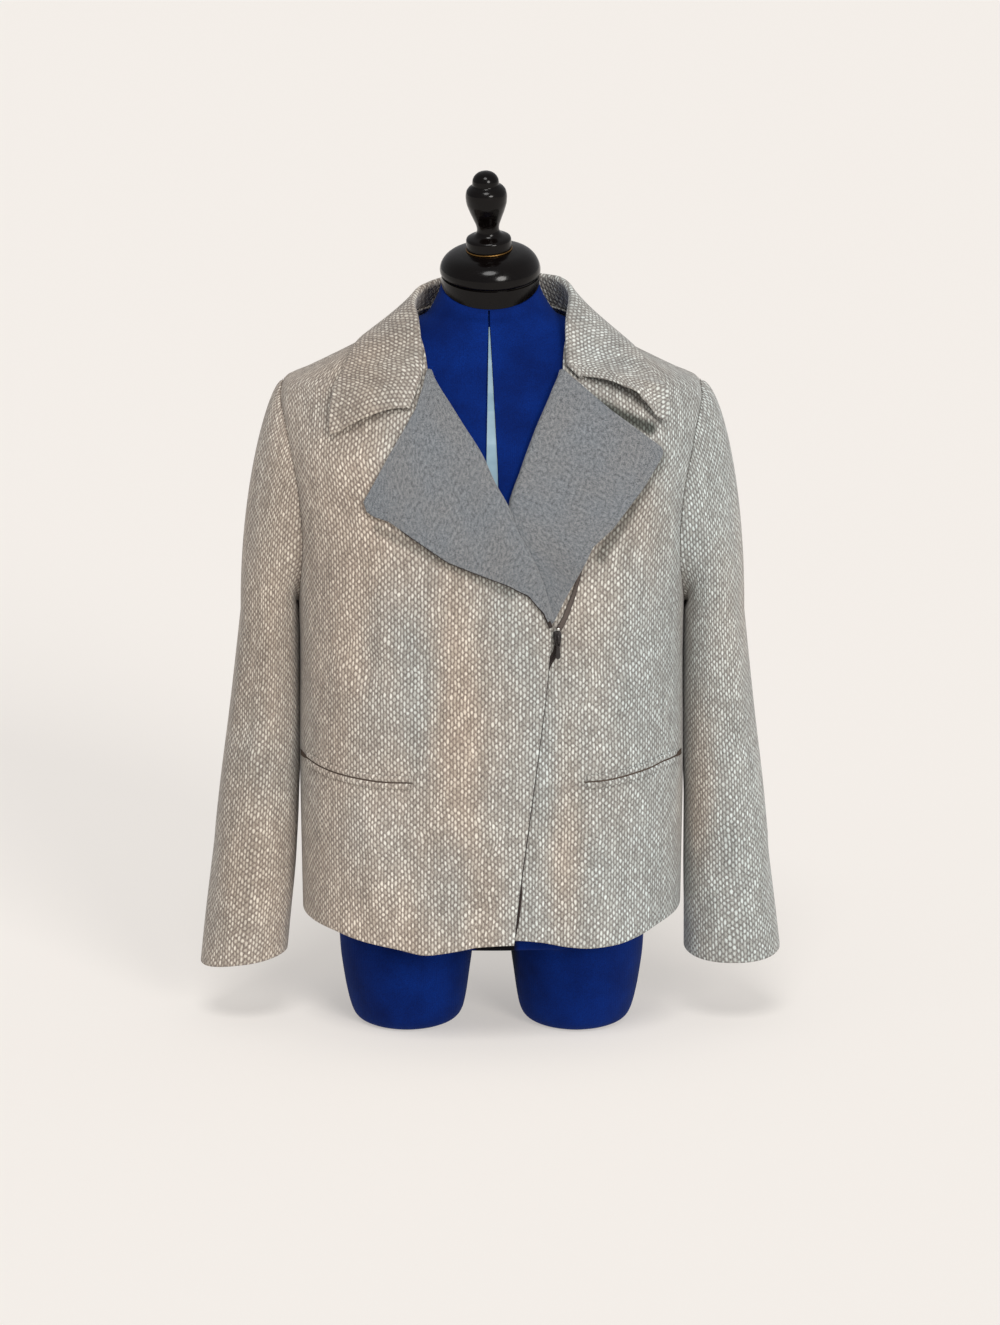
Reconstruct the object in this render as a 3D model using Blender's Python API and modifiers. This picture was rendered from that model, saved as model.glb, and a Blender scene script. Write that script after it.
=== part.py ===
"""Tweed jacket with a slanting front zip, standing on a limbless dress form.

The jacket faces -Y, its wearer's right is -X, and the form stands on the flat
undersides of its two thigh stubs at z = 0. Every size below is in millimetres and
MM turns it into metres when a mesh is made.

The cloth is worked out on one surface, the shell of the torso: a stack of level
rings with a half width, a front depth and a back depth. A point of a panel is a
place on that shell moved out by a height, so layers that lie on each other differ
only in their heights.
"""
import math

import bmesh
import bpy
import numpy as np
from mathutils import Vector

MM = 0.001

# Cloth walls and the clearances between layers
TWEED = 2.0
FLANNEL = 1.2
LAYER_GAP = 0.4
SEAM_GAP = 0.5

# Heights of the jacket's main levels
HEM = 112.0
BREAK = 430.0
CROSSING = 545.0
GORGE = 669.0
NECK_TOP = 712.0

# Armhole: an egg in the side plane
ARMHOLE_BOTTOM = 430.0
ARMHOLE_TOP = 650.0
ARMHOLE_FRONT = 62.0
ARMHOLE_BACK = 62.0
ARMHOLE_NARROWING = 0.12
ARMHOLE_GAP = 0.8

# Lapels
RIGHT_FOLD_RADIUS = 2.0
LEFT_FOLD_RADIUS = 1.6
FACING_TUCK = 3.0
FOLD_STEPS = 4
LAPEL_STEPS = 6
LAPEL_SPACE = 2.6
LAPEL_SETTLE = 0.6

# The left front lies under the right one
LEFT_SINK = 6.5
LEFT_SINK_TOP = 572.0
LEFT_SINK_X = 62.0
LEFT_SINK_RUN = 80.0
RIGHT_RISE = 3.3
RIGHT_RISE_START = 395.0
RIGHT_RISE_RUN = 50.0
RIGHT_RISE_END = 560.0
RIGHT_RISE_FADE = 60.0
RIGHT_RISE_WIDTH = 8.0
RIGHT_RISE_SLOPE = 34.0

# Pockets
JET_WIDTH = 5.6
JET_THICKNESS = 1.2
JET_OPENING = 0.8

# Zip
CHAIN_WIDTH = 5.0
CHAIN_THICKNESS = 1.5
CLOSED_LENGTH = 292.0
SLIDER_X = 64.5
SLIDER_Z = 421.0
SLIDER_TURN = 10.0
SLIDER_LIFT = 0.7
SLIDER_WIDTH = 9.0
SLIDER_LENGTH = 14.0
SLIDER_THICKNESS = 5.6
SLIDER_BEVEL = 1.2
BRIDGE_HEIGHT = 3.4
BRIDGE_WIDTH = 1.8
BRIDGE_BAR = 1.2
BRIDGE_LENGTH = 9.0
BRIDGE_FOOT = 0.6
TAB_WIDTH = 5.2
TAB_LENGTH = 18.0
TAB_THICKNESS = 1.2
TAB_WINDOW = 3.0
TAB_WINDOW_LENGTH = 4.2
TAB_HINGE_OUT = 1.2
TAB_HINGE_UP = -2.2

COLLECTION = "tweed_jacket_on_form"


class Table:
    """Rows of sizes under named columns, read in between by a curve that never overshoots."""

    def __init__(self, columns, rows):
        self.names = columns
        self.rows = np.array(rows, dtype=float)

    def at(self, place, name):
        """The value of a column where the first column has the given value."""
        xs = self.rows[:, 0]
        ys = self.rows[:, self.names.index(name)]
        place = min(max(place, xs[0]), xs[-1])
        widths = np.diff(xs)
        slopes = np.diff(ys) / widths
        tangents = np.empty(len(xs))
        tangents[0] = slopes[0]
        tangents[-1] = slopes[-1]
        for i in range(1, len(xs) - 1):
            before, after = slopes[i - 1], slopes[i]
            if before * after <= 0.0:
                tangents[i] = 0.0
            else:
                weight_a = 2.0 * widths[i] + widths[i - 1]
                weight_b = widths[i] + 2.0 * widths[i - 1]
                tangents[i] = (weight_a + weight_b) / (weight_a / before + weight_b / after)
        i = int(np.clip(np.searchsorted(xs, place) - 1, 0, len(xs) - 2))
        t = (place - xs[i]) / widths[i]
        rise = ys[i] * (2 * t ** 3 - 3 * t ** 2 + 1) + ys[i + 1] * (3 * t ** 2 - 2 * t ** 3)
        start = widths[i] * tangents[i] * (t ** 3 - 2 * t ** 2 + t)
        end = widths[i] * tangents[i + 1] * (t ** 3 - t ** 2)
        return float(rise + start + end)

    def point(self, place):
        """The x, y and z columns together."""
        return np.array([self.at(place, axis) for axis in ("x", "y", "z")])


# ---------------------------------------------------------------- torso shells

SHELL_COLUMNS = ("height", "half_width", "front", "back", "middle", "square")
JACKET_SHELL = Table(SHELL_COLUMNS, (
    (60, 187, 153, 151, 0, 2.5),
    (180, 189, 148, 148, 0, 2.5),
    (280, 190, 146, 138, 0, 2.5),
    (370, 189, 147, 126, 0, 2.5),
    (440, 190, 152, 118, 0, 2.45),
    (500, 193, 150, 114, 0, 2.4),
    (550, 199, 138, 113, 0, 2.45),
    (600, 205, 118, 110, 0, 2.6),
    (635, 208, 98, 100, 2, 2.6),
    (650, 204, 86, 92, 4, 2.5),
    (660, 183, 78, 86, 5, 2.4),
    (680, 142, 68, 78, 7, 2.3),
    (700, 104, 62, 70, 8, 2.2),
    (718, 75, 56, 64, 8, 2.1),
    (740, 66, 52, 58, 8, 2.0),
))
FORM_SHELL = Table(SHELL_COLUMNS, (
    (72, 128, 74, 80, 2, 2.1),
    (76, 143, 86, 92, 2, 2.15),
    (86, 154, 96, 103, 2, 2.2),
    (140, 167, 108, 116, 2, 2.2),
    (210, 167, 106, 108, 0, 2.2),
    (290, 140, 94, 90, -2, 2.2),
    (340, 128, 88, 84, -3, 2.2),
    (410, 136, 104, 88, -2, 2.2),
    (470, 150, 128, 94, -1, 2.3),
    (510, 160, 135, 98, 0, 2.35),
    (550, 170, 127, 103, 0, 2.4),
    (600, 183, 108, 103, 0, 2.6),
    (635, 189, 89, 94, 2, 2.6),
    (650, 187, 78, 87, 4, 2.5),
    (660, 179.8, 71, 82, 5, 2.4),
    (680, 138.8, 62, 74.5, 7, 2.3),
    (700, 101.2, 56, 66, 8, 2.2),
    (708, 82, 53, 61, 8, 2.1),
    (716, 64, 48, 55, 8, 2.0),
))


def section(shell, z):
    return [shell.at(z, name) for name in SHELL_COLUMNS[1:]]


def ring_point(shell, angle, z):
    """A point of a level ring; the angle runs from 0 at the front to +90 degrees at +X."""
    half_width, front, back, middle, square = section(shell, z)
    across = math.sin(angle)
    ahead = math.cos(angle)
    power = 2.0 / square
    depth = front if ahead > 0.0 else back
    x = math.copysign(half_width * abs(across) ** power, across)
    y = middle - math.copysign(depth * abs(ahead) ** power, ahead)
    return np.array([x, y, z])


def shell_angle(shell, x, z):
    """The ring angle of the front point at x."""
    half_width, _, _, _, square = section(shell, z)
    share = min(abs(x) / half_width, 1.0)
    return math.copysign(math.asin(share ** (square / 2.0)), x)


def shell_side_x(shell, y, z):
    """Half the width of the ring at depth y."""
    half_width, front, back, middle, square = section(shell, z)
    depth = front if y < middle else back
    share = min(abs(y - middle) / depth, 1.0)
    return half_width * (1.0 - share ** square) ** (1.0 / square)


def level_value(shell, point):
    """Below zero inside the shell, zero on it and above zero outside."""
    half_width, front, back, middle, square = section(shell, point[2])
    depth = front if point[1] < middle else back
    across = abs(point[0]) / half_width
    ahead = abs(point[1] - middle) / depth
    return (across ** square + ahead ** square) ** (1.0 / square) - 1.0


def gradient(shell, point):
    step = 0.5
    moves = np.eye(3) * step
    return np.array([
        (level_value(shell, point + move) - level_value(shell, point - move)) / (2.0 * step)
        for move in moves
    ])


def outward(shell, point):
    slope = gradient(shell, point)
    return slope / np.linalg.norm(slope)


def height_above(shell, point):
    slope = gradient(shell, point)
    return level_value(shell, point) / np.linalg.norm(slope)


def seat(point, height):
    """The point moved along the shell's normal until it lies at a height above the shell."""
    for _ in range(6):
        missing = height - height_above(JACKET_SHELL, point)
        point = point + outward(JACKET_SHELL, point) * missing
    return point


def front_place(x, z, height=0.0):
    """The place on the front of the jacket's shell at x and z, moved out by a height."""
    point = ring_point(JACKET_SHELL, shell_angle(JACKET_SHELL, x, z), z)
    return point + outward(JACKET_SHELL, point) * height


def ease(value):
    """0 below 0, 1 above 1 and a soft step between."""
    value = min(max(value, 0.0), 1.0)
    return value * value * (3.0 - 2.0 * value)


def unit(vector):
    return vector / np.linalg.norm(vector)


# -------------------------------------------------------------- mesh building

def new_collection(name):
    collection = bpy.data.collections.new(name)
    bpy.context.scene.collection.children.link(collection)
    return collection


def finish_mesh(name, points, faces, material, smooth_angle=40.0):
    """A named object with its own material, from points in millimetres."""
    mesh = bpy.data.meshes.new(name)
    mesh.from_pydata([tuple(point * MM) for point in points], [], faces)
    bm = bmesh.new()
    bm.from_mesh(mesh)
    bmesh.ops.recalc_face_normals(bm, faces=bm.faces)
    bm.to_mesh(mesh)
    bm.free()
    mesh.shade_smooth()
    mesh.set_sharp_from_angle(angle=math.radians(smooth_angle))
    mesh.materials.append(material)
    piece = bpy.data.objects.new(name, mesh)
    parts.objects.link(piece)
    return piece


def cloth_wall(name, face_side, back_side, material, cells=None, closed=False):
    """A wall between two equal grids of points, closed along every free edge.

    cells says which squares of the grid are cloth; closed joins the last column to
    the first, as on a sleeve.
    """
    rows, columns = face_side.shape[:2]
    spans = columns if closed else columns - 1
    if cells is None:
        cells = np.ones((rows - 1, spans), dtype=bool)
    numbers = {}
    points = []

    def corner(side, row, column):
        key = (side, row, column % columns)
        if key not in numbers:
            numbers[key] = len(points)
            points.append((face_side, back_side)[side][row, column % columns])
        return numbers[key]

    faces = []
    edge_count = {}
    for row in range(rows - 1):
        for column in range(spans):
            if not cells[row, column]:
                continue
            square = ((row, column), (row, column + 1), (row + 1, column + 1), (row + 1, column))
            faces.append([corner(0, *place) for place in square])
            faces.append([corner(1, *place) for place in reversed(square)])
            for start, end in zip(square, square[1:] + square[:1]):
                start = (start[0], start[1] % columns)
                end = (end[0], end[1] % columns)
                if edge_count.pop((end, start), None) is None:
                    edge_count[(start, end)] = True
    for start, end in edge_count:
        faces.append([corner(0, *end), corner(0, *start), corner(1, *start), corner(1, *end)])
    return finish_mesh(name, points, faces, material)


def ring_solid(name, rings, material, smooth_angle=40.0):
    """A solid through a stack of equal rings, closed by a flat face at each end."""
    count = len(rings[0])
    points = [point for ring in rings for point in ring]
    faces = []
    for level in range(len(rings) - 1):
        for i in range(count):
            j = (i + 1) % count
            low = level * count
            high = low + count
            faces.append([low + i, low + j, high + j, high + i])
    last_ring = len(points) - count
    for first in (0, last_ring):
        points.append(sum(points[first:first + count]) / count)
        middle = len(points) - 1
        faces.extend([first + i, first + (i + 1) % count, middle] for i in range(count))
    return finish_mesh(name, points, faces, material, smooth_angle)


def path_strip(name, middles, normals, width, thickness, material):
    """A flat strip along a path, with its thickness along the normals."""
    face_side = []
    back_side = []
    for i, middle in enumerate(middles):
        along = unit(middles[min(i + 1, len(middles) - 1)] - middles[max(i - 1, 0)])
        across = unit(np.cross(along, normals[i]))
        left = middle - across * width * 0.5
        right = middle + across * width * 0.5
        lift = normals[i] * thickness * 0.5
        face_side.append([left + lift, right + lift])
        back_side.append([left - lift, right - lift])
    return cloth_wall(name, np.array(face_side), np.array(back_side), material)


def make_material(name, colour, roughness, metallic=0.0):
    material = bpy.data.materials.new(name)
    material.use_nodes = True
    shader = material.node_tree.nodes["Principled BSDF"]
    shader.inputs["Base Color"].default_value = (*colour, 1.0)
    shader.inputs["Roughness"].default_value = roughness
    shader.inputs["Metallic"].default_value = metallic
    return material


# --------------------------------------------------------------- jacket fronts

# Inner edge of each front from the hem up to the neck: the zip's edge below the
# break, then the roll line of the lapel, then the neckline under the collar.
RIGHT_INNER = Table(("height", "x"), (
    (90, 20), (117, 22), (170, 27.5), (220, 34), (280, 42), (340, 49.5), (380, 54), (BREAK, 58),
    (460, 54), (484, 46.5), (524, 27.5), (CROSSING, 17.5), (594, -11), (629, -35),
    (GORGE, -62), (690, -66), (702, -70), (708, -74), (NECK_TOP, -78),
))
LEFT_INNER = Table(("height", "x"), (
    (90, 8), (117, 10), (220, 22), (300, 32), (400, 44), (BREAK, 48),
    (460, 44), (484, 37.5), (524, 22), (CROSSING, 16), (584, 27), (620, 42), (650, 60),
    (GORGE, 70), (690, 71.5), (702, 74), (708, 77), (NECK_TOP, 80),
))

# How far the hem hangs above its level, by x
RIGHT_HEM = Table(("x", "rise"), (
    (-190, 8), (-160, 5.5), (-130, 0), (-90, -5), (-66, -9), (-41, -5), (-11, 1), (30, 6),
))
LEFT_HEM = Table(("x", "rise"), (
    (0, 13), (25, 15), (48, 9), (77, -2), (100, -5), (120, -4), (147, 2), (167, 9), (190, 13),
))
HEM_FADE = 110.0

# Outer edge of each lapel from the break up to its tip, and its upper edge from
# the roll line by the end of the collar seam to the tip, as x and height
RIGHT_LAPEL_EDGE = ((58, 430), (50, 449), (36, 466), (17, 478.5), (-11, 491), (-41, 504),
                    (-69, 521), (-97, 536.5), (-110, 537.5), (-118, 542), (-121, 551))
RIGHT_LAPEL_TOP = ((-62, 669), (-66, 654), (-73, 635), (-98, 594), (-121, 551))
LEFT_LAPEL_EDGE = ((48, 430), (60, 437), (77, 472), (94, 510), (113, 527), (142, 566), (156, 588),
                   (159, 594), (157, 598.5))
LEFT_LAPEL_TOP = ((70, 669), (83, 658), (104, 642), (130, 621), (157, 598.5))

FRONT_ROWS = (112, 145, 185, 230, 280, 330, 375, 408, 430, 435, 442, 456, 476, 500, 522, 545,
              568, 592, 615, 634, 645, 650, 656, 662, 669, 681, 692, 702, 712)
LAPEL_START = 442
BODY_COLUMNS = 10


def along_path(points, share):
    """The point at a share of a polyline's length."""
    points = np.array(points, dtype=float)
    lengths = np.linalg.norm(np.diff(points, axis=0), axis=1)
    reached = np.concatenate(([0.0], np.cumsum(lengths)))
    place = share * reached[-1]
    return np.array([np.interp(place, reached, points[:, axis]) for axis in range(points.shape[1])])


def armhole_reach(z, back):
    """How far the armhole reaches ahead of, or behind, the side at a height."""
    centre = 0.5 * (ARMHOLE_TOP + ARMHOLE_BOTTOM)
    radius = 0.5 * (ARMHOLE_TOP - ARMHOLE_BOTTOM)
    level = (z - centre) / radius
    if abs(level) >= 1.0:
        return 0.0
    depth = ARMHOLE_BACK if back else ARMHOLE_FRONT
    return depth * math.sqrt(1.0 - level * level) * (1.0 - ARMHOLE_NARROWING * level)


def side_angle(z, back):
    """The ring angle, from the front, of a panel's side seam, armhole or shoulder seam."""
    reach = armhole_reach(z, back)
    middle = JACKET_SHELL.at(z, "middle")
    if reach <= 0.0:
        return math.radians(90.0)
    y = middle + reach if back else middle - reach
    x = shell_side_x(JACKET_SHELL, y, z)
    angle = shell_angle(JACKET_SHELL, x, z)
    return math.pi - angle if back else angle


def right_height(x, z):
    """Base height of the right front: it rises where it lies on the left one."""
    level = ease((z - RIGHT_RISE_START) / RIGHT_RISE_RUN)
    level *= 1.0 - ease((z - RIGHT_RISE_END) / RIGHT_RISE_FADE)
    distance = RIGHT_INNER.at(z, "x") - x
    return RIGHT_RISE * level * (1.0 - ease((distance - RIGHT_RISE_WIDTH) / RIGHT_RISE_SLOPE))


def left_height(x, z):
    """Base height of the left front: it sinks where the right one covers it."""
    level = 1.0 - ease((z - LEFT_SINK_TOP) / LEFT_SINK_RUN)
    return -LEFT_SINK * level * (1.0 - ease((x - LEFT_SINK_X) / LEFT_SINK_RUN))


class Front:
    """One front with its lapel, as a grid of places and heights."""

    def __init__(self, side, inner, hem, base_height, fold_radius, lapel_edge, lapel_top):
        self.side = side
        self.fold_radius = fold_radius
        self.inner = inner
        self.hem = hem
        self.base_height = base_height
        self.lapel_edge = lapel_edge
        self.lapel_top = lapel_top

    def place(self, x, z, height):
        return front_place(x, z, self.base_height(x, z) + height)

    def body_point(self, z, share, height):
        """share runs from 0 at the side to 1 at the inner edge."""
        start = self.side * side_angle(z, False)
        end = shell_angle(JACKET_SHELL, self.inner.at(z, "x"), z)
        angle = start + (end - start) * share
        x = ring_point(JACKET_SHELL, angle, z)[0]
        fade = max(0.0, 1.0 - (z - HEM) / HEM_FADE)
        hung = z + self.hem.at(x, "rise") * fade ** 1.5
        point = ring_point(JACKET_SHELL, angle, hung)
        base = self.base_height(point[0], hung)
        return point + outward(JACKET_SHELL, point) * (base + height)

    def roll_frame(self, z):
        """Point, outward normal and direction towards the neck opening at the roll line."""
        point = self.place(self.inner.at(z, "x"), z, 0.0)
        ahead = self.place(self.inner.at(z + 1.0, "x"), z + 1.0, 0.0)
        normal = outward(JACKET_SHELL, point)
        towards = np.cross(normal, unit(ahead - point)) * self.side
        return point, normal, unit(towards)

    def fold_point(self, z, turn, radius, centre_height):
        """A point of the fold; turn runs from 0 under the cloth to 1 on top of it."""
        point, normal, towards = self.roll_frame(z)
        angle = math.pi * turn
        out = centre_height - radius * math.cos(angle)
        return point + normal * out + towards * radius * math.sin(angle)

    def lapel_place(self, z, share):
        """x and height of the lapel, share 0 at the roll line and 1 at its outer edge."""
        level = (z - BREAK) / (GORGE - BREAK)
        roll = np.array([self.inner.at(z, "x"), z])
        edge = along_path(self.lapel_edge, level)
        top = along_path(self.lapel_top, share)
        roll_end = np.array([self.inner.at(GORGE, "x"), GORGE])
        edge_end = np.array(self.lapel_edge[-1], dtype=float)
        straight_top = roll_end + (edge_end - roll_end) * share
        bend = (top - straight_top) * level ** 2
        return roll + (edge - roll) * share + bend

    def lapel_point(self, z, share, extra):
        """A point of the lapel's tweed, moved out by extra from its middle."""
        x, level = self.lapel_place(z, share)
        fold_top = TWEED * 0.5 + 2.0 * self.fold_radius
        resting = TWEED * 1.5 + LAPEL_SPACE * 0.5
        height = fold_top + (resting - fold_top) * ease(share / LAPEL_SETTLE)
        return self.place(x, level, height + extra)


def build_front(name, front, material):
    """The front's tweed, with the lapel folded back over its face in one piece."""
    columns = BODY_COLUMNS + 1 + FOLD_STEPS + LAPEL_STEPS
    first_lapel_row = FRONT_ROWS.index(LAPEL_START)
    last_lapel_row = FRONT_ROWS.index(GORGE)
    face_side = np.zeros((len(FRONT_ROWS), columns, 3))
    back_side = np.zeros_like(face_side)
    cells = np.zeros((len(FRONT_ROWS) - 1, columns - 1), dtype=bool)
    cells[:, :BODY_COLUMNS] = True
    cells[first_lapel_row:last_lapel_row, BODY_COLUMNS:] = True
    half = TWEED * 0.5
    for row, z in enumerate(FRONT_ROWS):
        for column in range(BODY_COLUMNS + 1):
            share = column / BODY_COLUMNS
            face_side[row, column] = front.body_point(z, share, TWEED)
            back_side[row, column] = front.body_point(z, share, 0.0)
        if not first_lapel_row <= row <= last_lapel_row:
            continue
        radius = front.fold_radius
        centre = half + radius
        for step in range(1, FOLD_STEPS + 1):
            turn = step / FOLD_STEPS
            column = BODY_COLUMNS + step
            face_side[row, column] = front.fold_point(z, turn, radius - half, centre)
            back_side[row, column] = front.fold_point(z, turn, radius + half, centre)
        for step in range(1, LAPEL_STEPS + 1):
            share = step / LAPEL_STEPS
            column = BODY_COLUMNS + FOLD_STEPS + step
            face_side[row, column] = front.lapel_point(z, share, -half)
            back_side[row, column] = front.lapel_point(z, share, half)
    return cloth_wall(name, face_side, back_side, material, cells)


def build_facing(name, front, material):
    """The flannel that lines the lapel, from inside the roll line to the lapel's edge."""
    levels = [z for z in FRONT_ROWS if LAPEL_START <= z <= GORGE]
    middle = TWEED * 0.5 + LAYER_GAP + FLANNEL * 0.5
    half = FLANNEL * 0.5
    face_side = []
    back_side = []
    for z in levels:
        faces = []
        backs = []
        for extra, line in ((half, faces), (-half, backs)):
            radius = front.fold_radius + middle + extra
            centre = TWEED * 0.5 + front.fold_radius
            _, normal, towards = front.roll_frame(z)
            start = front.fold_point(z, 0.0, radius, centre)
            line.append(start - towards * FACING_TUCK - normal * LAYER_GAP)
            line.extend(front.fold_point(z, step / FOLD_STEPS, radius, centre)
                        for step in range(FOLD_STEPS + 1))
            line.extend(front.lapel_point(z, step / LAPEL_STEPS, middle + extra)
                        for step in range(1, LAPEL_STEPS + 1))
        face_side.append(faces)
        back_side.append(backs)
    return cloth_wall(name, np.array(face_side), np.array(back_side), material)


# ------------------------------------------------------------------------ back

BACK_ROWS = (112, 150, 200, 250, 300, 350, 395, 430, 435, 442, 456, 476, 500, 530, 560, 590,
             615, 634, 645, 650, 658, 668, 680, 691, 702, 712)
BACK_COLUMNS = 16
BACK_HEM_RISE = 6.0
BACK_NECK_RISE = 10.0


def build_back(material):
    """The back in one piece, from side seam to side seam and up to the neckline."""
    grids = []
    for height in (TWEED, 0.0):
        grid = []
        for z in BACK_ROWS:
            line = []
            start = side_angle(z, True)
            for column in range(BACK_COLUMNS + 1):
                share = column / BACK_COLUMNS
                angle = start + (2.0 * math.pi - 2.0 * start) * share
                middle_share = math.sin(math.pi * share)
                fade = max(0.0, 1.0 - (z - HEM) / HEM_FADE)
                lift = (BACK_HEM_RISE - 4.0 * middle_share) * fade ** 1.5
                lift += BACK_NECK_RISE * middle_share ** 2 * ease((z - 676.0) / 36.0)
                point = ring_point(JACKET_SHELL, angle, z + lift)
                if share == 0.0 or share == 1.0:
                    point = point + side_gap(point, z)
                line.append(point + outward(JACKET_SHELL, point) * height)
            grid.append(line)
        grids.append(np.array(grid))
    return cloth_wall("back", grids[0], grids[1], material)


def side_gap(point, z):
    """The back's step away from the fronts along the side and shoulder seams."""
    if armhole_reach(z, True) > 0.0:
        return np.zeros(3)
    return np.array([0.0, SEAM_GAP, 0.0])


# --------------------------------------------------------------------- sleeves

# Level rings of the hanging sleeves. The outer and inner sides are distances from the
# middle of the body; slope is how much higher the outer side of a ring lies than the
# inner one, and pitch how much higher its back lies than its front.
SLEEVE_COLUMNS = ("height", "outer", "inner", "front", "back", "slope", "pitch")
RIGHT_SLEEVE = Table(SLEEVE_COLUMNS, (
    (66, 294, 206, -52, 44, -13, 0),
    (100, 290, 203, -54, 45, -7, 0),
    (170, 281, 196.5, -58, 50, 0, 0),
    (240, 273, 193.2, -60, 54, 0, 0),
    (330, 261, 192.6, -62, 58, 0, 0),
    (422, 250, 192.8, -64, 62, 0, 0),
))
LEFT_SLEEVE = Table(SLEEVE_COLUMNS, (
    (76, 291, 194, -54, 42, 0, 14),
    (110, 287, 193.8, -55, 44, 0, 7),
    (170, 280, 193.0, -58, 49, 0, 0),
    (240, 273, 193.0, -60, 54, 0, 0),
    (330, 262, 192.6, -62, 58, 0, 0),
    (422, 252, 192.8, -64, 62, 0, 0),
))
CAP_STEPS = 9
TUBE_STEPS = 9
# How far the top of the sleeve stands out before it drops
RIGHT_CAP_OUT = 12.0
LEFT_CAP_OUT = 20.0
# The same at the underarm, as a share; how far it also lifts, sags and drops, as shares
CAP_UNDERARM = 0.35
CAP_LIFT = 0.12
CAP_SAG = 0.10
CAP_DROP = 0.55
# Roundness of the sleeve rings; 1 is an ellipse
SLEEVE_ROUND = 0.9


def armhole_turns():
    """Turns round the armhole that fall on the panels' own rows; 0 is the shoulder."""
    centre = 0.5 * (ARMHOLE_TOP + ARMHOLE_BOTTOM)
    radius = 0.5 * (ARMHOLE_TOP - ARMHOLE_BOTTOM)

    def turns(rows):
        inside = [z for z in rows if ARMHOLE_BOTTOM < z < ARMHOLE_TOP]
        return [math.acos((z - centre) / radius) / (2.0 * math.pi) for z in inside]

    front = sorted(turns(FRONT_ROWS))
    back = sorted(1.0 - turn for turn in turns(BACK_ROWS))
    return [0.0] + front + [0.5] + back


def armhole_point(turn, side, height):
    """A point just inside the armhole; turn is 0 at the shoulder, a quarter at the front."""
    angle = 2.0 * math.pi * turn
    centre = 0.5 * (ARMHOLE_TOP + ARMHOLE_BOTTOM)
    radius = 0.5 * (ARMHOLE_TOP - ARMHOLE_BOTTOM)
    z = centre + radius * math.cos(angle)
    back = math.sin(angle) < 0.0
    reach = armhole_reach(z, back)
    share = 1.0 - ARMHOLE_GAP / max(math.hypot(reach, z - centre), 1.0)
    z = centre + (z - centre) * share
    reach = reach * share
    y = JACKET_SHELL.at(z, "middle") + (reach if back else -reach)
    point = np.array([side * shell_side_x(JACKET_SHELL, y, z), y, z])
    return point + outward(JACKET_SHELL, point) * height


def tube_point(table, turn, z, side):
    angle = 2.0 * math.pi * turn
    outer, inner = table.at(z, "outer"), table.at(z, "inner")
    front, back = table.at(z, "front"), table.at(z, "back")
    across, ahead = math.cos(angle), math.sin(angle)
    x = 0.5 * (outer + inner) + 0.5 * (outer - inner) * math.copysign(abs(across) ** SLEEVE_ROUND, across)
    y = 0.5 * (front + back) - 0.5 * (back - front) * math.copysign(abs(ahead) ** SLEEVE_ROUND, ahead)
    rise = 0.5 * table.at(z, "slope") * across - 0.5 * table.at(z, "pitch") * ahead
    return np.array([side * x, y, z + rise])


def bezier(a, b, c, d, t):
    s = 1.0 - t
    return a * s ** 3 + b * 3 * s * s * t + c * 3 * s * t * t + d * t ** 3


def sleeve_rings(table, cap_out, side):
    """Outer face of a sleeve: rings from the armhole down to the cuff."""
    heights = table.rows[:, 0]
    top = heights[-1]
    bottom = heights[0]
    turns = armhole_turns()
    rings = [[armhole_point(turn, side, 0.0) for turn in turns]]
    for step in range(CAP_STEPS):
        t = step / CAP_STEPS
        ring = []
        for turn in turns:
            start = armhole_point(turn, side, TWEED + SEAM_GAP)
            end = tube_point(table, turn, top, side)
            raised = 0.5 + 0.5 * math.cos(2.0 * math.pi * turn)
            drop = np.linalg.norm(end - start)
            out = np.array([side, 0.0, CAP_LIFT]) * cap_out * (CAP_UNDERARM + (1.0 - CAP_UNDERARM) * raised)
            out = out + np.array([0.0, 0.0, -1.0]) * drop * CAP_SAG * (1.0 - raised)
            above = end + np.array([0.0, 0.0, drop * CAP_DROP])
            ring.append(bezier(start, start + out, above, end, t))
        rings.append(ring)
    for step in range(TUBE_STEPS + 1):
        share = step / TUBE_STEPS
        z = top + (bottom - top) * share
        rings.append([tube_point(table, turn, z, side) for turn in turns])
    return np.array(rings)


def grid_normals(grid, closed):
    """Unit normals of a grid of points, from its neighbours."""
    if closed:
        across = np.roll(grid, -1, axis=1) - np.roll(grid, 1, axis=1)
    else:
        across = np.gradient(grid, axis=1)
    along = np.gradient(grid, axis=0)
    normals = np.cross(across, along)
    lengths = np.linalg.norm(normals, axis=2, keepdims=True)
    return normals / np.maximum(lengths, 1e-9)


def build_sleeve(name, table, cap_out, side, material):
    outer = sleeve_rings(table, cap_out, side)
    normals = grid_normals(outer, closed=True)
    middle = outer.mean(axis=1, keepdims=True)
    facing_in = ((outer - middle) * normals).sum() < 0.0
    if facing_in:
        normals = -normals
    inner = outer - normals * TWEED
    return cloth_wall(name, outer, inner, material, closed=True)


# ---------------------------------------------------------------------- collar

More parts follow.
